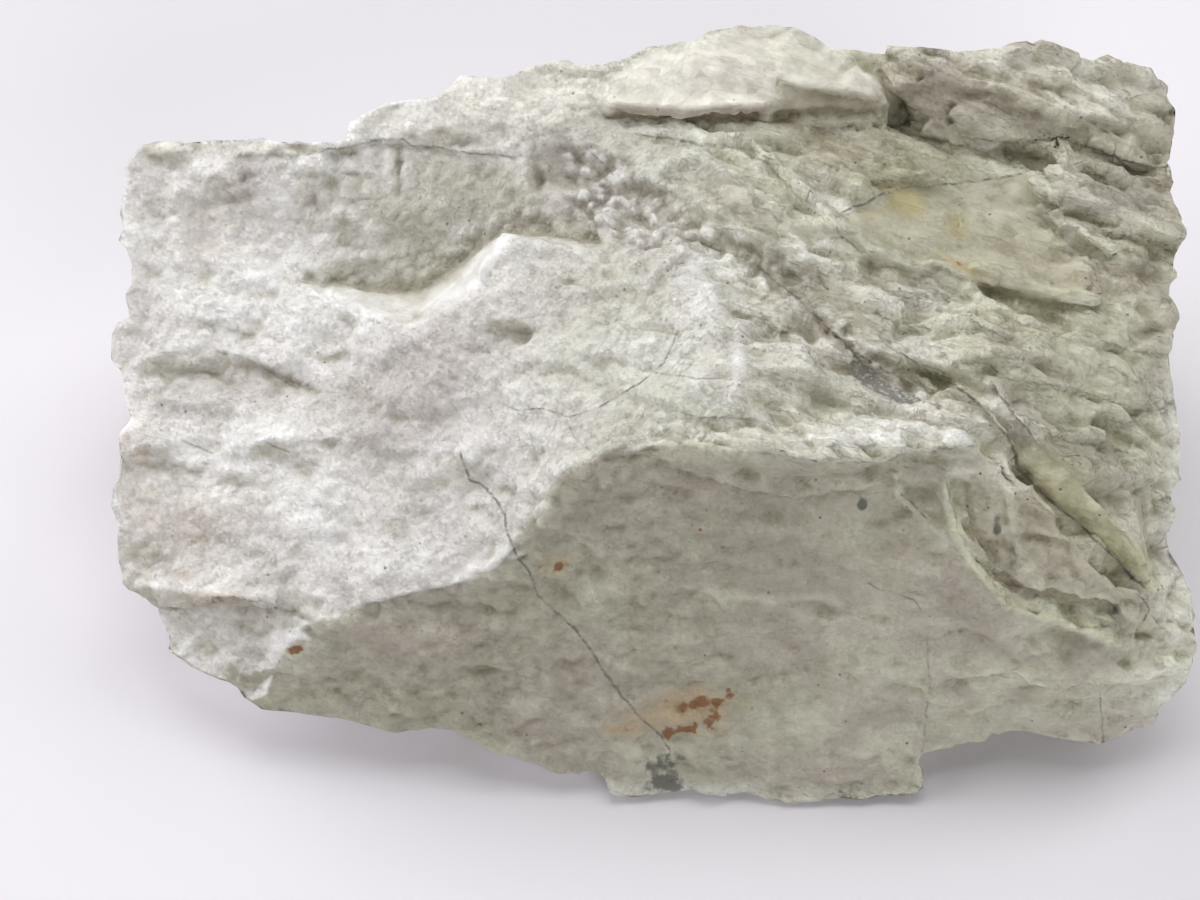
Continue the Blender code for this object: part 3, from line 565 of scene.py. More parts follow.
PATCHES = [  # laid over the ground in this order: a colour, how strongly it covers, and its spots
    # fresh white ground of the sugary part
    (CLEAN_WHITE, 0.8, [
        (225, 290, 80, 40), (290, 415, 55, 22), (330, 520, 50, 50), (410, 560, 60, 24),
        (170, 270, 16, 36), (690, 290, 30, 40, -40), (738, 366, 9, 40, 6), (955, 432, 22, 9, 20),
        (205, 625, 40, 16), (520, 178, 5, 16), (280, 215, 26, 40), (725, 264, 36, 13, 15),
        (190, 350, 40, 14), (190, 452, 50, 14), (455, 452, 40, 22), (470, 252, 22, 16, -50),
        (190, 210, 30, 40),
    ]),
    # cream along the rims and on the lobe
    (CREAM, 0.8, [
        (480, 100, 80, 34), (380, 125, 26, 12), (560, 90, 60, 30), (1130, 520, 22, 12, 40),
        (960, 470, 16, 10), (1120, 88, 50, 18, 8), (1000, 58, 90, 9, 6), (1090, 105, 50, 14, 12),
        (700, 60, 60, 20), (1005, 470, 12, 24, -30), (1060, 165, 20, 14), (1010, 420, 30, 14, 20),
    ]),
    # leaf green where fibres are fresh
    (LEAF, 0.7, [
        (800, 60, 40, 18, 20), (965, 118, 20, 10, -30), (1045, 175, 9, 32, 20), (950, 345, 40, 10, 8),
        (850, 440, 90, 20, -5), (1050, 350, 50, 14, 10), (1000, 720, 90, 22), (760, 190, 30, 24, 40),
        (1110, 380, 40, 20, 20), (900, 290, 40, 16, 20), (880, 640, 40, 40), (1175, 620, 14, 50, 10),
        (780, 730, 70, 30), (740, 262, 30, 14, 20), (1110, 420, 50, 30, 20), (1120, 310, 40, 20, 10),
        (640, 760, 40, 20), (590, 600, 30, 30, 20), (975, 560, 12, 50, -30),
    ]),
    # mauve clouds in the sugary part, and painted shade where the seam begins
    (MAUVE_GREY, 0.7, [
        (240, 385, 50, 20, 15), (190, 405, 46, 12), (735, 205, 36, 16, 25), (1110, 200, 50, 30),
        (250, 168, 26, 14), (160, 205, 10, 30), (375, 400, 44, 26, 10), (430, 370, 60, 30, 10),
        (560, 300, 40, 24), (560, 420, 40, 14), (480, 545, 40, 12, -35),
    ]),
    # mauve clouds on the front
    (FRONT_MAUVE, 0.75, [
        (690, 485, 90, 18, 8), (640, 530, 100, 22, 6), (420, 650, 80, 20, -8), (800, 590, 80, 34, 10),
        (1090, 650, 30, 14), (720, 500, 60, 16, 5), (960, 640, 60, 18, 5), (560, 175, 36, 20, 30),
        (930, 90, 34, 26, 20),
    ]),
    # painted shade in brown-grey: in the steps, under the lips and on down-facing facets
    (SEAM_BROWN_AND_STEP_SHADE, 0.6, [
        (832, 305, 34, 16, 25), (1090, 450, 30, 10, 15), (835, 104, 44, 10, 6), (900, 112, 9, 12),
        (1150, 268, 18, 24), (560, 175, 24, 12, 30), (800, 300, 36, 9, 45), (930, 100, 24, 20),
        (1030, 440, 12, 30, -35), (820, 470, 100, 6, 2), (290, 380, 30, 5, 22), (925, 492, 20, 10, 20),
    ]),
    # duller parts of the front, and painted shade under the lip and by the seam
    (FRONT_DUSK, 0.4, [
        (550, 610, 60, 40), (735, 700, 60, 40), (735, 540, 70, 40), (905, 510, 40, 30),
        (820, 520, 40, 24), (820, 305, 30, 20, 20),
    ]),
    # tan floor of the valley
    (VALLEY_TAN, 0.6, [
        (985, 545, 22, 26, 30), (1060, 565, 34, 14, 22), (1035, 520, 14, 30, -40),
        (912, 510, 18, 14, 20),
    ]),
    # olive round the plate, and painted shade under the lobe and where the seam begins
    (OLIVE, 0.6, [
        (850, 150, 60, 20, 5), (915, 158, 44, 14), (735, 205, 40, 16, 25), (880, 185, 40, 14, -10),
        (830, 105, 44, 14, 6), (860, 330, 40, 12, 20),
    ]),
    # white along the lip of the ledge
    (CLEAN_WHITE, 0.7, [
        (850, 438, 70, 14, -2), (900, 420, 44, 16), (960, 432, 20, 10), (905, 340, 30, 8, 10),
    ]),
    # the block's cream rim
    (RIM_CREAM, 0.85, [(1050, 64, 110, 14, 5), (1095, 92, 50, 20, 8), (1000, 70, 30, 14)]),
    # painted shade in umber on the block's down-facing facets and under the ledges below it
    (BLOCK_UMBER_SHADE, 0.6, [
        (962, 100, 24, 18), (930, 98, 26, 18), (1042, 124, 30, 12, 15), (1152, 200, 24, 22),
        (1110, 198, 26, 16), (1000, 338, 24, 10, 10), (1100, 345, 26, 8, 10),
    ]),
    # the darkest of the altered band
    (DEEP_UMBER, 0.75, [(602, 190, 20, 18, 30), (562, 160, 28, 14, 10), (585, 205, 14, 12)]),
    # a paler mauve cloud
    (PALE_MAUVE, 0.55, [(375, 425, 50, 42)]),
    # painted shade under the ledge, in the front's grey
    (FRONT_GREY, 0.5, [(820, 505, 40, 24), (905, 512, 40, 26), (1092, 452, 34, 14, 15)]),
    # more white, softly, with painted light at the left end and on the right edge
    (CLEAN_WHITE, 0.45, [
        (905, 300, 40, 16, 10), (820, 245, 30, 14, 20), (370, 150, 50, 14), (820, 352, 30, 14, 20),
        (905, 400, 30, 12, 10), (460, 500, 34, 26, -30), (190, 250, 44, 60), (200, 480, 60, 40),
        (180, 590, 40, 20), (250, 640, 40, 20, -10), (130, 500, 36, 60), (280, 600, 40, 24, -20),
        (370, 250, 36, 20, -30), (820, 200, 40, 20, 20), (690, 330, 30, 20), (1000, 150, 30, 14, 10),
        (910, 300, 40, 20, 10), (1180, 560, 20, 40), (460, 256, 20, 14, -40), (340, 190, 36, 50),
        (400, 170, 40, 24), (280, 210, 24, 40), (640, 352, 40, 22), (915, 352, 34, 10, 15),
        (905, 430, 60, 14, -4), (1000, 400, 30, 12, 25), (740, 262, 30, 14, 20),
        (380, 262, 50, 16, -10), (470, 225, 24, 30, -50),
    ]),
    # more mauve, softly
    (MAUVE_GREY, 0.45, [
        (375, 425, 56, 50), (375, 425, 40, 36), (200, 400, 60, 18), (190, 550, 44, 20),
        (460, 350, 50, 26), (550, 200, 30, 30), (460, 150, 50, 12), (640, 252, 40, 20, 20),
        (595, 165, 30, 30, 30), (205, 205, 50, 30), (285, 220, 30, 30), (500, 500, 30, 40, -20),
    ]),
    # the pale right edge, with painted light on it
    (PALE_EDGE_AND_LIGHT, 0.9, [
        (1182, 430, 20, 80), (1188, 540, 20, 50), (1180, 600, 16, 80), (1165, 690, 40, 24),
    ]),
    # pinkish tinge at the left and by the scar
    (PINK_TINGE, 0.5, [
        (190, 520, 50, 36), (140, 500, 16, 60), (210, 250, 40, 12), (205, 222, 22, 14, 10),
    ]),
    # rusty pink specks
    (RUSTY_PINK, 0.5, [(124, 437, 7, 12), (140, 456, 7, 7)]),
    # deep mauve hollows
    (DEEP_MAUVE, 0.6, [(240, 380, 50, 12, 15), (262, 372, 30, 8, 15), (250, 180, 14, 30)]),
    # brown film at the left foot, and painted shade in the crevice and the pit there
    (BROWN_FILM_AND_SHADE, 0.7, [(210, 598, 40, 7, 4), (196, 540, 12, 5, 10), (180, 575, 14, 8)]),
    # grey films, and painted shade in the crevice under the top rim
    (GREY_FILM_AND_SHADE, 0.7, [(268, 152, 26, 6, 4), (284, 580, 12, 8), (252, 552, 16, 6)]),
    # soft grey: painted shade by the seam and in its steps, and grey mottle at the left and in the scar
    (GREY_MOTTLE_AND_SHADE, 0.35, [
        (820, 305, 40, 20, 20), (642, 250, 40, 24, 20), (730, 200, 40, 20, 20), (550, 205, 34, 20, 20),
        (460, 150, 44, 18), (372, 400, 44, 22), (372, 450, 40, 22), (372, 500, 36, 22),
        (460, 350, 40, 24), (190, 552, 36, 20), (190, 402, 40, 18), (1000, 200, 40, 20, 10),
    ]),
    # soft shade on the front
    (FRONT_SHADE, 0.35, [
        (1090, 450, 36, 16, 15), (910, 502, 36, 22), (735, 550, 40, 22), (550, 600, 40, 24),
        (735, 700, 44, 26), (820, 102, 36, 14, 5),
    ]),
    # last white clouds, with painted light at the left end and on the right edge
    (CLEAN_WHITE, 0.3, [
        (280, 200, 36, 22), (462, 252, 26, 18, -30), (190, 650, 36, 20), (280, 640, 40, 22),
        (330, 600, 50, 16, -10), (370, 150, 40, 16), (110, 500, 24, 50), (550, 100, 40, 20),
        (1180, 400, 20, 24), (1180, 555, 20, 30),
    ]),
]
for colour, amount, spots in PATCHES:
    for where in spots:
        wash(colour, amount * spot(*where))

# Colours that follow drawn lines.

lobe_shadow = [(776, 76), (800, 86), (840, 91), (884, 97), (886, 117), (840, 123), (776, 121)]
wash(LOBE_SHADE, 0.75 * inside(lobe_shadow, 4, 0.3))
# Painted shade in brown on the underside of the lobe's lip.
wash(LIP_UNDERSIDE_SHADE, 0.9 * band([(606, 108), (640, 112), (696, 115), (735, 112), (780, 112)], 7.5))
wash(RIM_SHADE, 0.8 * band([(232, 160), (250, 154), (275, 153), (302, 158)], 3))
wash(CREAM, 0.9 * band([(136, 152), (180, 146), (230, 147), (290, 150), (342, 146)], 5))
green_ridge = [
    (948, 498), (957, 530), (968, 552), (986, 580), (1014, 603), (1053, 616), (1104, 634), (1134, 650),
]
wash(RIDGE_GREEN, 0.75 * band(green_ridge, 7))
wash(SLOPE_YELLOW, 0.5 * band([(1020, 452), (1050, 466), (1085, 506), (1104, 520)], 12, 8))
wash(CLEAN_WHITE, 0.6 * beads * smooth_step(0.0, 0.3, -fine_hollow))
for line, _, width in RIBS:
    wash(LEAF, 0.5 * rib(line, 1, width))
# Brown along the seams: partly their own colour, partly painted shade in their grooves.
wash(SEAM_BROWN_AND_STEP_SHADE, 0.65 * band([(735, 256), (787, 284), (820, 324), (859, 358), (922, 396)], 5, 6))
wash(SLOPE_BROWN, 0.5 * band([(1040, 432), (1078, 454), (1114, 492), (1152, 532)], 14, 10))
seam = [(937, 380), (985, 412), (1016, 458), (1055, 508), (1105, 551), (1150, 595)]
wash(SEAM_BROWN_AND_STEP_SHADE, 0.7 * band(seam, 4, 4))

# Painted shade in the hollows, browner than grey, and a painted highlight on the ridges.
HOLLOW_SHADE = np.array([0.21, 0.225, 0.285])  # how much a hollow takes from red, green and blue
RIDGE_PAINTED_HIGHLIGHT = np.array([0.10, 0.11, 0.11])
BRIGHTEST = 0.9

tint *= 1 - smooth_step(0.02, 0.32, fine_hollow)[:, None] * HOLLOW_SHADE
tint *= 1 - smooth_step(0.1, 1.3, wide_hollow)[:, None] * HOLLOW_SHADE
tint *= 1 + smooth_step(0.02, 0.3, -fine_hollow)[:, None] * RIDGE_PAINTED_HIGHLIGHT
tint = np.minimum(tint, BRIGHTEST)


def mark(name, values):
    """Stores one number for each point of the stone, for its finish to read."""
    layer = stone.data.attributes.new(name, "FLOAT", "POINT")
    layer.data.foreach_set("value", values)


STAINS = {  # each has its spots, with the force of each before what spot() takes
    "rust": [
        (1, 690, 728, 22, 5, -14), (1, 708, 703, 24, 6, -12), (0.8, 668, 730, 8, 8, 40),
        (0.8, 728, 690, 6, 5), (0.8, 712, 716, 6, 12, 20), (0.7, 556, 566, 6, 5), (0.8, 296, 650, 6, 4),
        (0.5, 665, 700, 8, 4), (0.5, 652, 540, 3, 2), (0.55, 684, 545, 4, 2), (0.5, 700, 530, 3, 2),
        (0.55, 722, 548, 4, 3), (0.5, 735, 556, 3, 2), (0.5, 668, 520, 3, 2), (0.45, 690, 512, 3, 2),
        (0.35, 950, 258, 14, 3, 35), (0.35, 628, 728, 6, 5), (0.3, 190, 542, 7, 4),
    ],
    "rust halo": [
        (0.9, 690, 710, 50, 26, -8), (0.6, 620, 727, 22, 9), (0.6, 552, 562, 16, 12),
        (0.35, 296, 650, 14, 9), (0.5, 950, 260, 20, 5, 32), (0.3, 930, 272, 12, 8),
        (0.3, 684, 545, 8, 6),
    ],
    "ochre": [
        (0.9, 905, 203, 24, 15), (0.45, 955, 168, 9, 8), (0.5, 957, 230, 11, 18),
        (0.5, 945, 256, 20, 6, 35), (0.45, 975, 272, 18, 7, 22), (0.4, 870, 215, 20, 8, -20),
    ],
    # Dark films and specks, and painted shade in small crevices and pits.
    "dark": [
        (0.9, 665, 768, 20, 16), (0.5, 672, 785, 26, 8), (0.8, 862, 503, 4, 6), (0.9, 997, 528, 4, 9),
        (0.7, 1050, 577, 7, 4), (0.8, 1115, 611, 9, 8), (0.6, 1035, 658, 6, 3), (0.6, 1150, 155, 6, 8),
        (0.7, 898, 112, 6, 12), (0.5, 787, 264, 7, 9, 40), (0.6, 802, 287, 9, 12, 50),
        (0.6, 824, 312, 8, 9), (0.6, 843, 328, 9, 8), (0.5, 268, 152, 24, 6, 4),
        (0.35, 240, 180, 7, 14), (0.4, 195, 540, 12, 5), (0.35, 252, 552, 12, 7), (0.4, 284, 580, 9, 8),
        (0.5, 146, 366, 5, 4), (0.35, 332, 338, 7, 4), (0.3, 322, 359, 7, 4), (0.5, 160, 592, 4, 4),
        (0.35, 222, 600, 20, 5),
    ],
}
for name, spots in STAINS.items():
    mark(name, sum(force * spot(*where) for force, *where in spots))
mark("glassy", glassy)
mark("fibres right", rightward * (1 - front) * (1 - 0.6 * np.maximum(lobe, plate)))
mark("fibres rising", (1 - rightward) * smooth_step(-20, -5, places[:, 0]) * (1 - front) + scar)
mark("fibres front", 0.25 * front)
mark("calm", calm)
dusty = 0.25 + plate + smooth_slope + 0.5 * rightward + 1.2 * random_heights(places, 9, 49)
mark("speckled", np.clip(dusty, 0, 1))
mark("clouds", 0.5 + 0.5 * random_heights(places, 3.4, 44, 3))
falling_streaks = random_heights(stretched(22, 7), 1.7, 46, 2)
rising_streaks = random_heights(stretched(-42, 5), 1.7, 47, 2)
mark("streaks", 0.5 + 0.5 * np.where(rightward > 0.5, falling_streaks, rising_streaks))

CRACKS = [  # a line and how strong it is
    ([(459, 448), (469, 479), (482, 484), (494, 496), (505, 517), (507, 530), (515, 553), (528, 570),
      (539, 596), (545, 602), (565, 620), (576, 630), (591, 650), (606, 674), (621, 695), (642, 719),
      (662, 736), (670, 752), (662, 768)], 1.3),
    ([(833, 221), (845, 210), (866, 203), (880, 195), (900, 188), (920, 187), (950, 184), (980, 181),
      (1000, 178), (1015, 175), (1032, 169)], 0.9),
    ([(300, 155), (340, 148), (380, 140), (402, 139), (412, 146), (440, 148), (460, 152), (480, 154),
      (520, 157)], 0.7),
    ([(738, 254), (760, 268), (780, 285), (800, 300), (820, 320), (840, 340), (859, 355), (880, 368),
      (911, 383), (922, 392)], 0.9),
    ([(585, 146), (600, 160), (615, 176)], 0.5),
    ([(614, 200), (650, 222), (690, 240), (737, 256)], 0.35),
    ([(937, 378), (957, 386), (985, 410), (1000, 428), (1010, 442), (1016, 455), (1018, 470), (1040, 490),
      (1055, 505), (1075, 520), (1090, 535), (1105, 548), (1120, 562), (1130, 575), (1150, 592)], 1.2),
    ([(180, 440), (195, 446), (213, 453)], 0.6),
    ([(255, 360), (275, 375), (300, 390)], 0.6),
    ([(928, 640), (927, 660), (930, 680), (928, 700), (924, 740), (922, 755)], 0.5),
    ([(1100, 690), (1102, 720), (1104, 745)], 0.6),
    ([(640, 135), (660, 137), (700, 144), (745, 148), (775, 160)], 0.6),
    ([(1082, 143), (1100, 151), (1120, 160), (1150, 166), (1175, 172)], 0.7),
    ([(680, 412), (700, 417), (740, 418), (757, 420)], 0.6),
]
BRANCHES = [
    ([(502, 402), (512, 410), (543, 408), (566, 417), (594, 410), (617, 397), (637, 384), (653, 373),
      (665, 362), (678, 330)], 0.8),
    ([(990, 380), (1000, 395), (1015, 415), (1028, 430), (1038, 446)], 1.0),
    ([(260, 440), (275, 446), (290, 452)], 0.5),
    ([(865, 580), (880, 590), (893, 592), (915, 600), (922, 612)], 0.6),
    ([(900, 493), (914, 505), (928, 520)], 0.9),
    ([(900, 352), (937, 378)], 0.7),
    ([(1070, 165), (1095, 158), (1110, 152)], 0.6),
]
TWIGS = [
    ([(653, 373), (676, 376), (714, 379), (735, 380)], 0.6),
    ([(566, 417), (574, 437), (589, 450)], 0.6),
    ([(1140, 595), (1150, 610), (1140, 625)], 1.0),
]


def mark_lines(name, lines):
    """Marks how far each point is from the nearest drawn line, and how strong that line is there."""
    nearest = np.full(len(places), 1e3)
    strength = np.zeros(len(places))
    for line, force in lines:
        gap, way = from_line(line)
        closer = np.abs(gap) < np.abs(nearest)
        nearest = np.where(closer, gap, nearest)
        strength = np.where(closer, force * tapered(way, 0.03), strength)
    strength *= 1 - smooth_step(8, 14, np.abs(nearest))
    mark(name + " gap", nearest)
    mark(name + " strength", strength * seen)


mark_lines("ledges", [(line, rise - 0.4) for line, rise, _, _ in LEDGES if rise > 0.45])
mark_lines("cracks", CRACKS)
mark_lines("branches", BRANCHES)
mark_lines("twigs", TWIGS)

layer = stone.data.attributes.new("tint", "FLOAT_COLOR", "POINT")
layer.data.foreach_set("color", np.hstack([tint, np.ones((len(tint), 1))]).ravel())

mineral = bpy.data.materials.new("amblygonite")
mineral.use_nodes = True
tree = mineral.node_tree
shader = tree.nodes["Principled BSDF"]


def put(socket, value):
    if isinstance(value, bpy.types.NodeSocket):
        tree.links.new(value, socket)
    else:
        socket.default_value = value


def node(kind, inputs, **settings):
    """A new node of the mineral's finish, with these settings and these values or links at its inputs."""
    made = tree.nodes.new("ShaderNode" + kind)
    for name, setting in settings.items():
        setattr(made, name, setting)
    for socket, value in inputs.items():
        put(made.inputs[socket], value)
    return made


def calc(operation, *values, clamp=False):
    return node("Math", dict(enumerate(values)), operation=operation, use_clamp=clamp).outputs[0]


def plus(first, second, clamp=False):
    return calc("ADD", first, second, clamp=clamp)


def minus(first, second):
    return calc("SUBTRACT", first, second)


def times(first, second, clamp=False):
    return calc("MULTIPLY", first, second, clamp=clamp)


def vector_calc(operation, *values):
    found = node("VectorMath", dict(enumerate(values)), operation=operation)
    return found.outputs["Value" if operation == "DOT_PRODUCT" else "Vector"]


def mixed(amount, first, second, how="MIX"):
    inputs = {0: amount, 6: first, 7: second}
    return node("Mix", inputs, data_type="RGBA", blend_type=how).outputs[2]


def eased(value, low, high):
    """0 below the low value, 1 above the high one, and smooth between them."""
    inputs = {"Value": value, "From Min": low, "From Max": high}
    return node("MapRange", inputs, interpolation_type="SMOOTHSTEP").outputs["Result"]


def grain(where, size, detail=2, roughness=0.5):
    """Soft random values about 0.5, whose lumps have this size in millimetres."""
    inputs = {"Vector": where, "Scale": 1 / size, "Detail": detail, "Roughness": roughness}
    return node("TexNoise", inputs).outputs[0]


def crystals(where, size, feature="F1"):
    """How far each place is from the middle, or the edge, of random crystals of this size."""
    inputs = {"Vector": where, "Scale": 1 / size}
    return node("TexVoronoi", inputs, feature=feature).outputs["Distance"]


def marked(name, output="Fac"):
    return node("Attribute", {}, attribute_name=name).outputs[output]


on_stone = node("TexCoord", {}).outputs["Object"]
here = node("VectorMath", {0: on_stone, "Scale": 1 / MM}, operation="SCALE").outputs["Vector"]


def fibrous(trend, fall, longer):
    """Places squeezed along a trend over the stone's top: grain then lies along it."""
    turn = (0, math.radians(fall), math.radians(trend))
    turned = node("Mapping", {"Vector": here, "Rotation": turn}, vector_type="POINT")
    return vector_calc("MULTIPLY", turned.outputs["Vector"], (1 / longer, 1, 1))


def chosen(share, first, second):
    """The first of two vectors where the share is under a half, and the second elsewhere."""
    inputs = {0: calc("GREATER_THAN", share, 0.5), 4: first, 5: second}
    return node("Mix", inputs, data_type="VECTOR").outputs[1]


# The grain of the mineral: a crumbly ground everywhere, and fibres that lie down to the right in
# the right part, up to the right in the middle and the scar, and along the front.

CRUMB_SIZE = 1.5  # all sizes in millimetres
FIBRE_WIDTH = 0.62
SUGAR_SIZE = 0.38
FLAKE_SIZE = 1.5
CREASE_SPACING = 3.2
SPECK_SPACING = 2.2

crumbs = grain(here, CRUMB_SIZE, 3, 0.55)
clouds = marked("clouds")
calmness = marked("calm")
ragged = plus(crumbs, times(clouds, 0.5))
rising_share = marked("fibres rising")
front_share = marked("fibres front")
right_share = marked("fibres right")
rising_here = plus(rising_share, times(minus(clouds, 0.5), 0.6))
upper_way = chosen(rising_here, fibrous(22, 0, 8), fibrous(-45, 0, 5))
fibre_way = chosen(times(front_share, 1.8), upper_way, fibrous(0, -14, 8))
fibres = grain(fibre_way, FIBRE_WIDTH, 3, 0.55)
top_share = plus(right_share, times(rising_share, 0.35))
fibrousness = plus(top_share, front_share, clamp=True)


def facets_of(where, size):
    """Flat facets, each with its own slope: their heights, and a random number for each facet."""
    at = vector_calc("MULTIPLY", where, (1 / size, 1 / size, 1 / size))
    found = node("TexVoronoi", {"Vector": at, "Scale": 1})
    from_middle = vector_calc("SUBTRACT", at, found.outputs["Position"])
    lean = vector_calc("SUBTRACT", found.outputs["Color"], (0.5, 0.5, 0.5))
    heights = times(vector_calc("DOT_PRODUCT", from_middle, lean), 2 * size)
    return heights, node("SeparateColor", {0: found.outputs["Color"]}).outputs[0]


sugar_heights, sugar_random = facets_of(here, SUGAR_SIZE)
flake_heights, flake_random = facets_of(vector_calc("MULTIPLY", fibre_way, (3, 1, 1)), FLAKE_SIZE)

# What lies over the tint: pale streaks, stains, films with some painted shade, glassy facets, creases of
# painted shade, cracks and dust.

STREAK_PALE = (0.70, 0.69, 0.60, 1)
OCHRE_STAIN = (0.45, 0.385, 0.20, 1)
HALO_STAIN = (0.50, 0.37, 0.22, 1)
RUST_STAIN = (0.235, 0.10, 0.03, 1)
DARK_FILM_AND_SHADE = (0.09, 0.095, 0.08, 1)
GLASS_DARK = (0.20, 0.19, 0.165, 1)
GLASS_BRIGHT = (0.44, 0.43, 0.40, 1)
CREASE_SHADE_BROWN = (0.30, 0.27, 0.21, 1)
CRACK_BLACK = (0.12, 0.125, 0.105, 1)
DUST_BROWN = (0.12, 0.10, 0.08, 1)

colour = marked("tint", "Color")


def shaded(colour, share, dark, light):
    """Multiplies a colour by the dark one where the share is 0 and by the light one where it is 1."""
    return mixed(1.0, colour, mixed(share, dark, light), "MULTIPLY")


colour = shaded(colour, eased(clouds, 0.36, 0.66), (0.94, 0.935, 0.925, 1), (1.05, 1.05, 1.05, 1))
colour = shaded(colour, eased(crumbs, 0.32, 0.68), (0.95, 0.945, 0.935, 1), (1.04, 1.04, 1.045, 1))
colour = shaded(colour, sugar_random, (0.96, 0.96, 0.955, 1), (1.04, 1.04, 1.04, 1))
flaky = shaded(colour, flake_random, (0.92, 0.915, 0.895, 1), (1.07, 1.07, 1.07, 1))
colour = mixed(plus(fibrousness, 0.3, clamp=True), colour, flaky)
streak = eased(marked("streaks"), 0.52, 0.66)
colour = mixed(times(times(streak, fibrousness), 0.25), colour, STREAK_PALE)
fine = mixed(eased(fibres, 0.3, 0.7), (0.93, 0.925, 0.905, 1), (1.05, 1.05, 1.05, 1))
colour = mixed(fibrousness, colour, mixed(1.0, colour, fine, "MULTIPLY"))


def stain(name, roughly, low, high):
    """The share of a marked stain, with a ragged border, and nought far from its mark."""
    border = times(minus(ragged, 0.75), roughly)
    share = eased(plus(marked(name), border), low, high)
    return times(share, eased(marked(name), 0.05, 0.25))


colour = mixed(times(stain("ochre", 1.2, 0.05, 0.8), 0.8), colour, OCHRE_STAIN)
colour = mixed(times(stain("rust halo", 1.4, 0.05, 0.8), 0.7), colour, HALO_STAIN)
colour = mixed(times(stain("rust", 2.6, 0.35, 0.75), 0.9), colour, RUST_STAIN)
# Dark films, and painted shade in some crevices and pits.
colour = mixed(times(stain("dark", 2.6, 0.25, 0.95), 0.85), colour, DARK_FILM_AND_SHADE)
glitter = mixed(eased(sugar_random, 0.74, 0.9), GLASS_DARK, GLASS_BRIGHT)
colour = mixed(times(stain("glassy", 1.6, 0.3, 0.7), 0.85), colour, glitter)

# Thin brown creases between bundles of fibres are painted shade, with no relief under them.
crease_way = vector_calc("MULTIPLY", fibre_way, (2.4, 1, 1))
crease_way = vector_calc("ADD", crease_way, times(crumbs, 1.6))
crease = minus(1, eased(crystals(crease_way, CREASE_SPACING, "DISTANCE_TO_EDGE"), 0.0, 0.05))
crease = times(crease, eased(grain(here, 4.5, 1), 0.5, 0.6))
on_top = times(minus(fibrousness, front_share), 0.5)
crease = times(crease, plus(on_top, 0.14))
crease = times(crease, calmness)
colour = mixed(crease, colour, CREASE_SHADE_BROWN)


def crack_share(name, width):
    wander = times(minus(crumbs, 0.5), 6)
    gap = calc("ABSOLUTE", plus(marked(name + " gap"), wander))
    broken = times(marked(name + " strength"), plus(eased(fibres, 0.4, 0.6), 0.3))
    return times(minus(1, eased(gap, 0.2, width)), broken, clamp=True)


cracks = calc("MAXIMUM", crack_share("cracks", 2.1), crack_share("branches", 1.6))
cracks = calc("MAXIMUM", cracks, crack_share("twigs", 1.5))
colour = mixed(times(cracks, 0.75), colour, CRACK_BLACK)

speck = minus(1, eased(crystals(here, SPECK_SPACING), 0.05, 0.1))
speck = times(speck, marked("speckled"))
colour = mixed(times(speck, 0.8), colour, DUST_BROWN)
put(shader.inputs["Base Color"], colour)

REFRACTION = 1.6  # amblygonite's own
SMOOTHEST = 0.42
SHINE = 0.35
put(shader.inputs["Roughness"], plus(SMOOTHEST, times(crumbs, 0.45)))
put(shader.inputs["IOR"], REFRACTION)
put(shader.inputs["Specular IOR Level"], SHINE)

# Bump in millimetres: crumbs, fibres, sugary and flaky facets, and a sharper edge on each ledge.

height = times(crumbs, times(calmness, 0.42))
fibre_height = times(fibrousness, 0.34)
height = plus(height, times(fibres, plus(fibre_height, 0.05)))
height = plus(height, times(sugar_heights, times(calmness, 0.34)))
height = plus(height, times(flake_heights, plus(fibre_height, 0.16)))
ledge_gap = plus(marked("ledges gap"), times(minus(crumbs, 0.5), 9))
ledge_near = minus(1, eased(calc("ABSOLUTE", ledge_gap), 4, 18))
ledge_step = times(eased(ledge_gap, -1.6, 1.6), ledge_near)
ledge_step = times(ledge_step, marked("ledges strength"))
height = plus(height, times(ledge_step, 0.25))
bump = node("Bump", {"Strength": 1, "Distance": MM, "Height": height})
put(shader.inputs["Normal"], bump.outputs["Normal"])

stone.data.materials.clear()
stone.data.materials.append(mineral)
bpy.ops.object.shade_smooth()
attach(stone, "root")
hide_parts("amblygonite")

# ---------------------------------------------------------------------------------------------
# The table top: a plain sheet of pale, faintly violet board. Five wide soft lamps light it, the
# strongest from the left and the back, so that the ledges throw short shadows to the right.

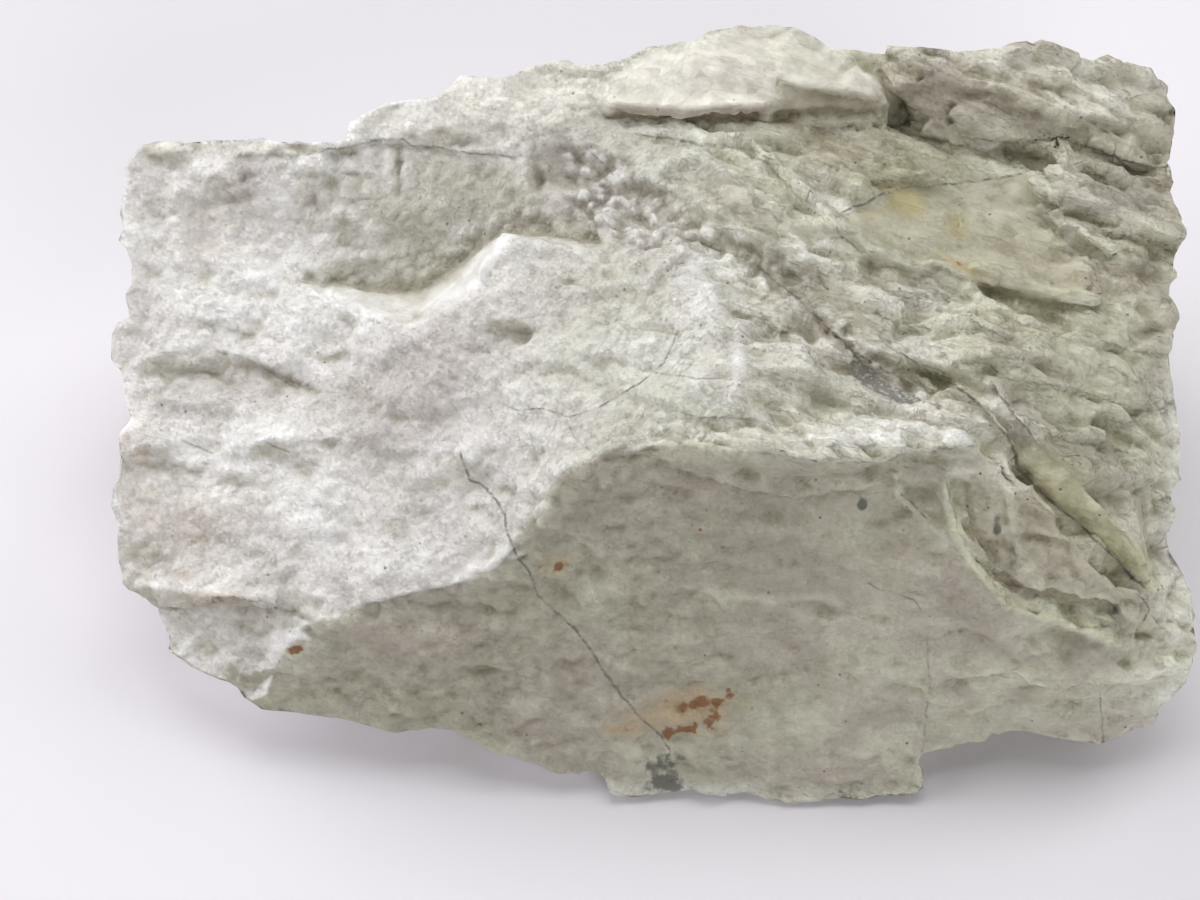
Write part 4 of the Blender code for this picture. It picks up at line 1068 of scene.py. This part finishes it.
FLOOR_SIZE = 4
BOARD_COLOUR = (0.83, 0.805, 0.855, 1)
BOARD_ROUGHNESS = 0.9
ROOM_COLOUR = (1, 0.99, 1, 1)
ROOM_LIGHT = 0.06
bpy.ops.object.select_all(action="DESELECT")
bpy.ops.mesh.primitive_plane_add(size=FLOOR_SIZE)
floor = bpy.context.active_object
floor.name = "floor"
board = bpy.data.materials.new("board")
board.use_nodes = True
board_inputs = board.node_tree.nodes["Principled BSDF"].inputs
board_inputs["Base Color"].default_value = BOARD_COLOUR
board_inputs["Roughness"].default_value = BOARD_ROUGHNESS
floor.data.materials.append(board)

room = bpy.data.worlds.new("room")
room.use_nodes = True
room_inputs = room.node_tree.nodes["Background"].inputs
room_inputs["Color"].default_value = ROOM_COLOUR
room_inputs["Strength"].default_value = ROOM_LIGHT
bpy.context.scene.world = room

LAMP_FAR = 5
LAMP_SIZE = 3.2
LAMPS = [(135, 25, 124), (180, 25, 102), (292, 25, 100), (40, 48, 74), (90, 75, 92)]


def soft_lamp(bearing, height, power):
    """A square lamp aimed at the stone, from a bearing, 90 at the back, and a height, in degrees."""
    turn, rise = math.radians(bearing), math.radians(height)
    way = Vector((math.cos(turn) * math.cos(rise), math.sin(turn) * math.cos(rise), math.sin(rise)))
    facing = way.to_track_quat("Z", "Y").to_euler()
    bpy.ops.object.light_add(type="AREA", location=way * LAMP_FAR, rotation=facing)
    bpy.context.active_object.data.size = LAMP_SIZE
    bpy.context.active_object.data.energy = power


for lamp in LAMPS:
    soft_lamp(*lamp)

# ---------------------------------------------------------------------------------------------
# The camera stands at the drawing's eye, 62 centimetres off and 55 degrees above the table, and
# its lens shows the drawing's width.

SENSOR = 36
bpy.ops.object.camera_add(location=EYE, rotation=(math.pi / 2 - EYE_ELEVATION, 0, 0))
camera = bpy.context.active_object
camera.data.sensor_width = SENSOR
camera.data.lens = SENSOR * EYE_DISTANCE / (DRAWING[0] * UNIT)
bpy.context.scene.camera = camera
bpy.context.scene.view_settings.view_transform = "Standard"
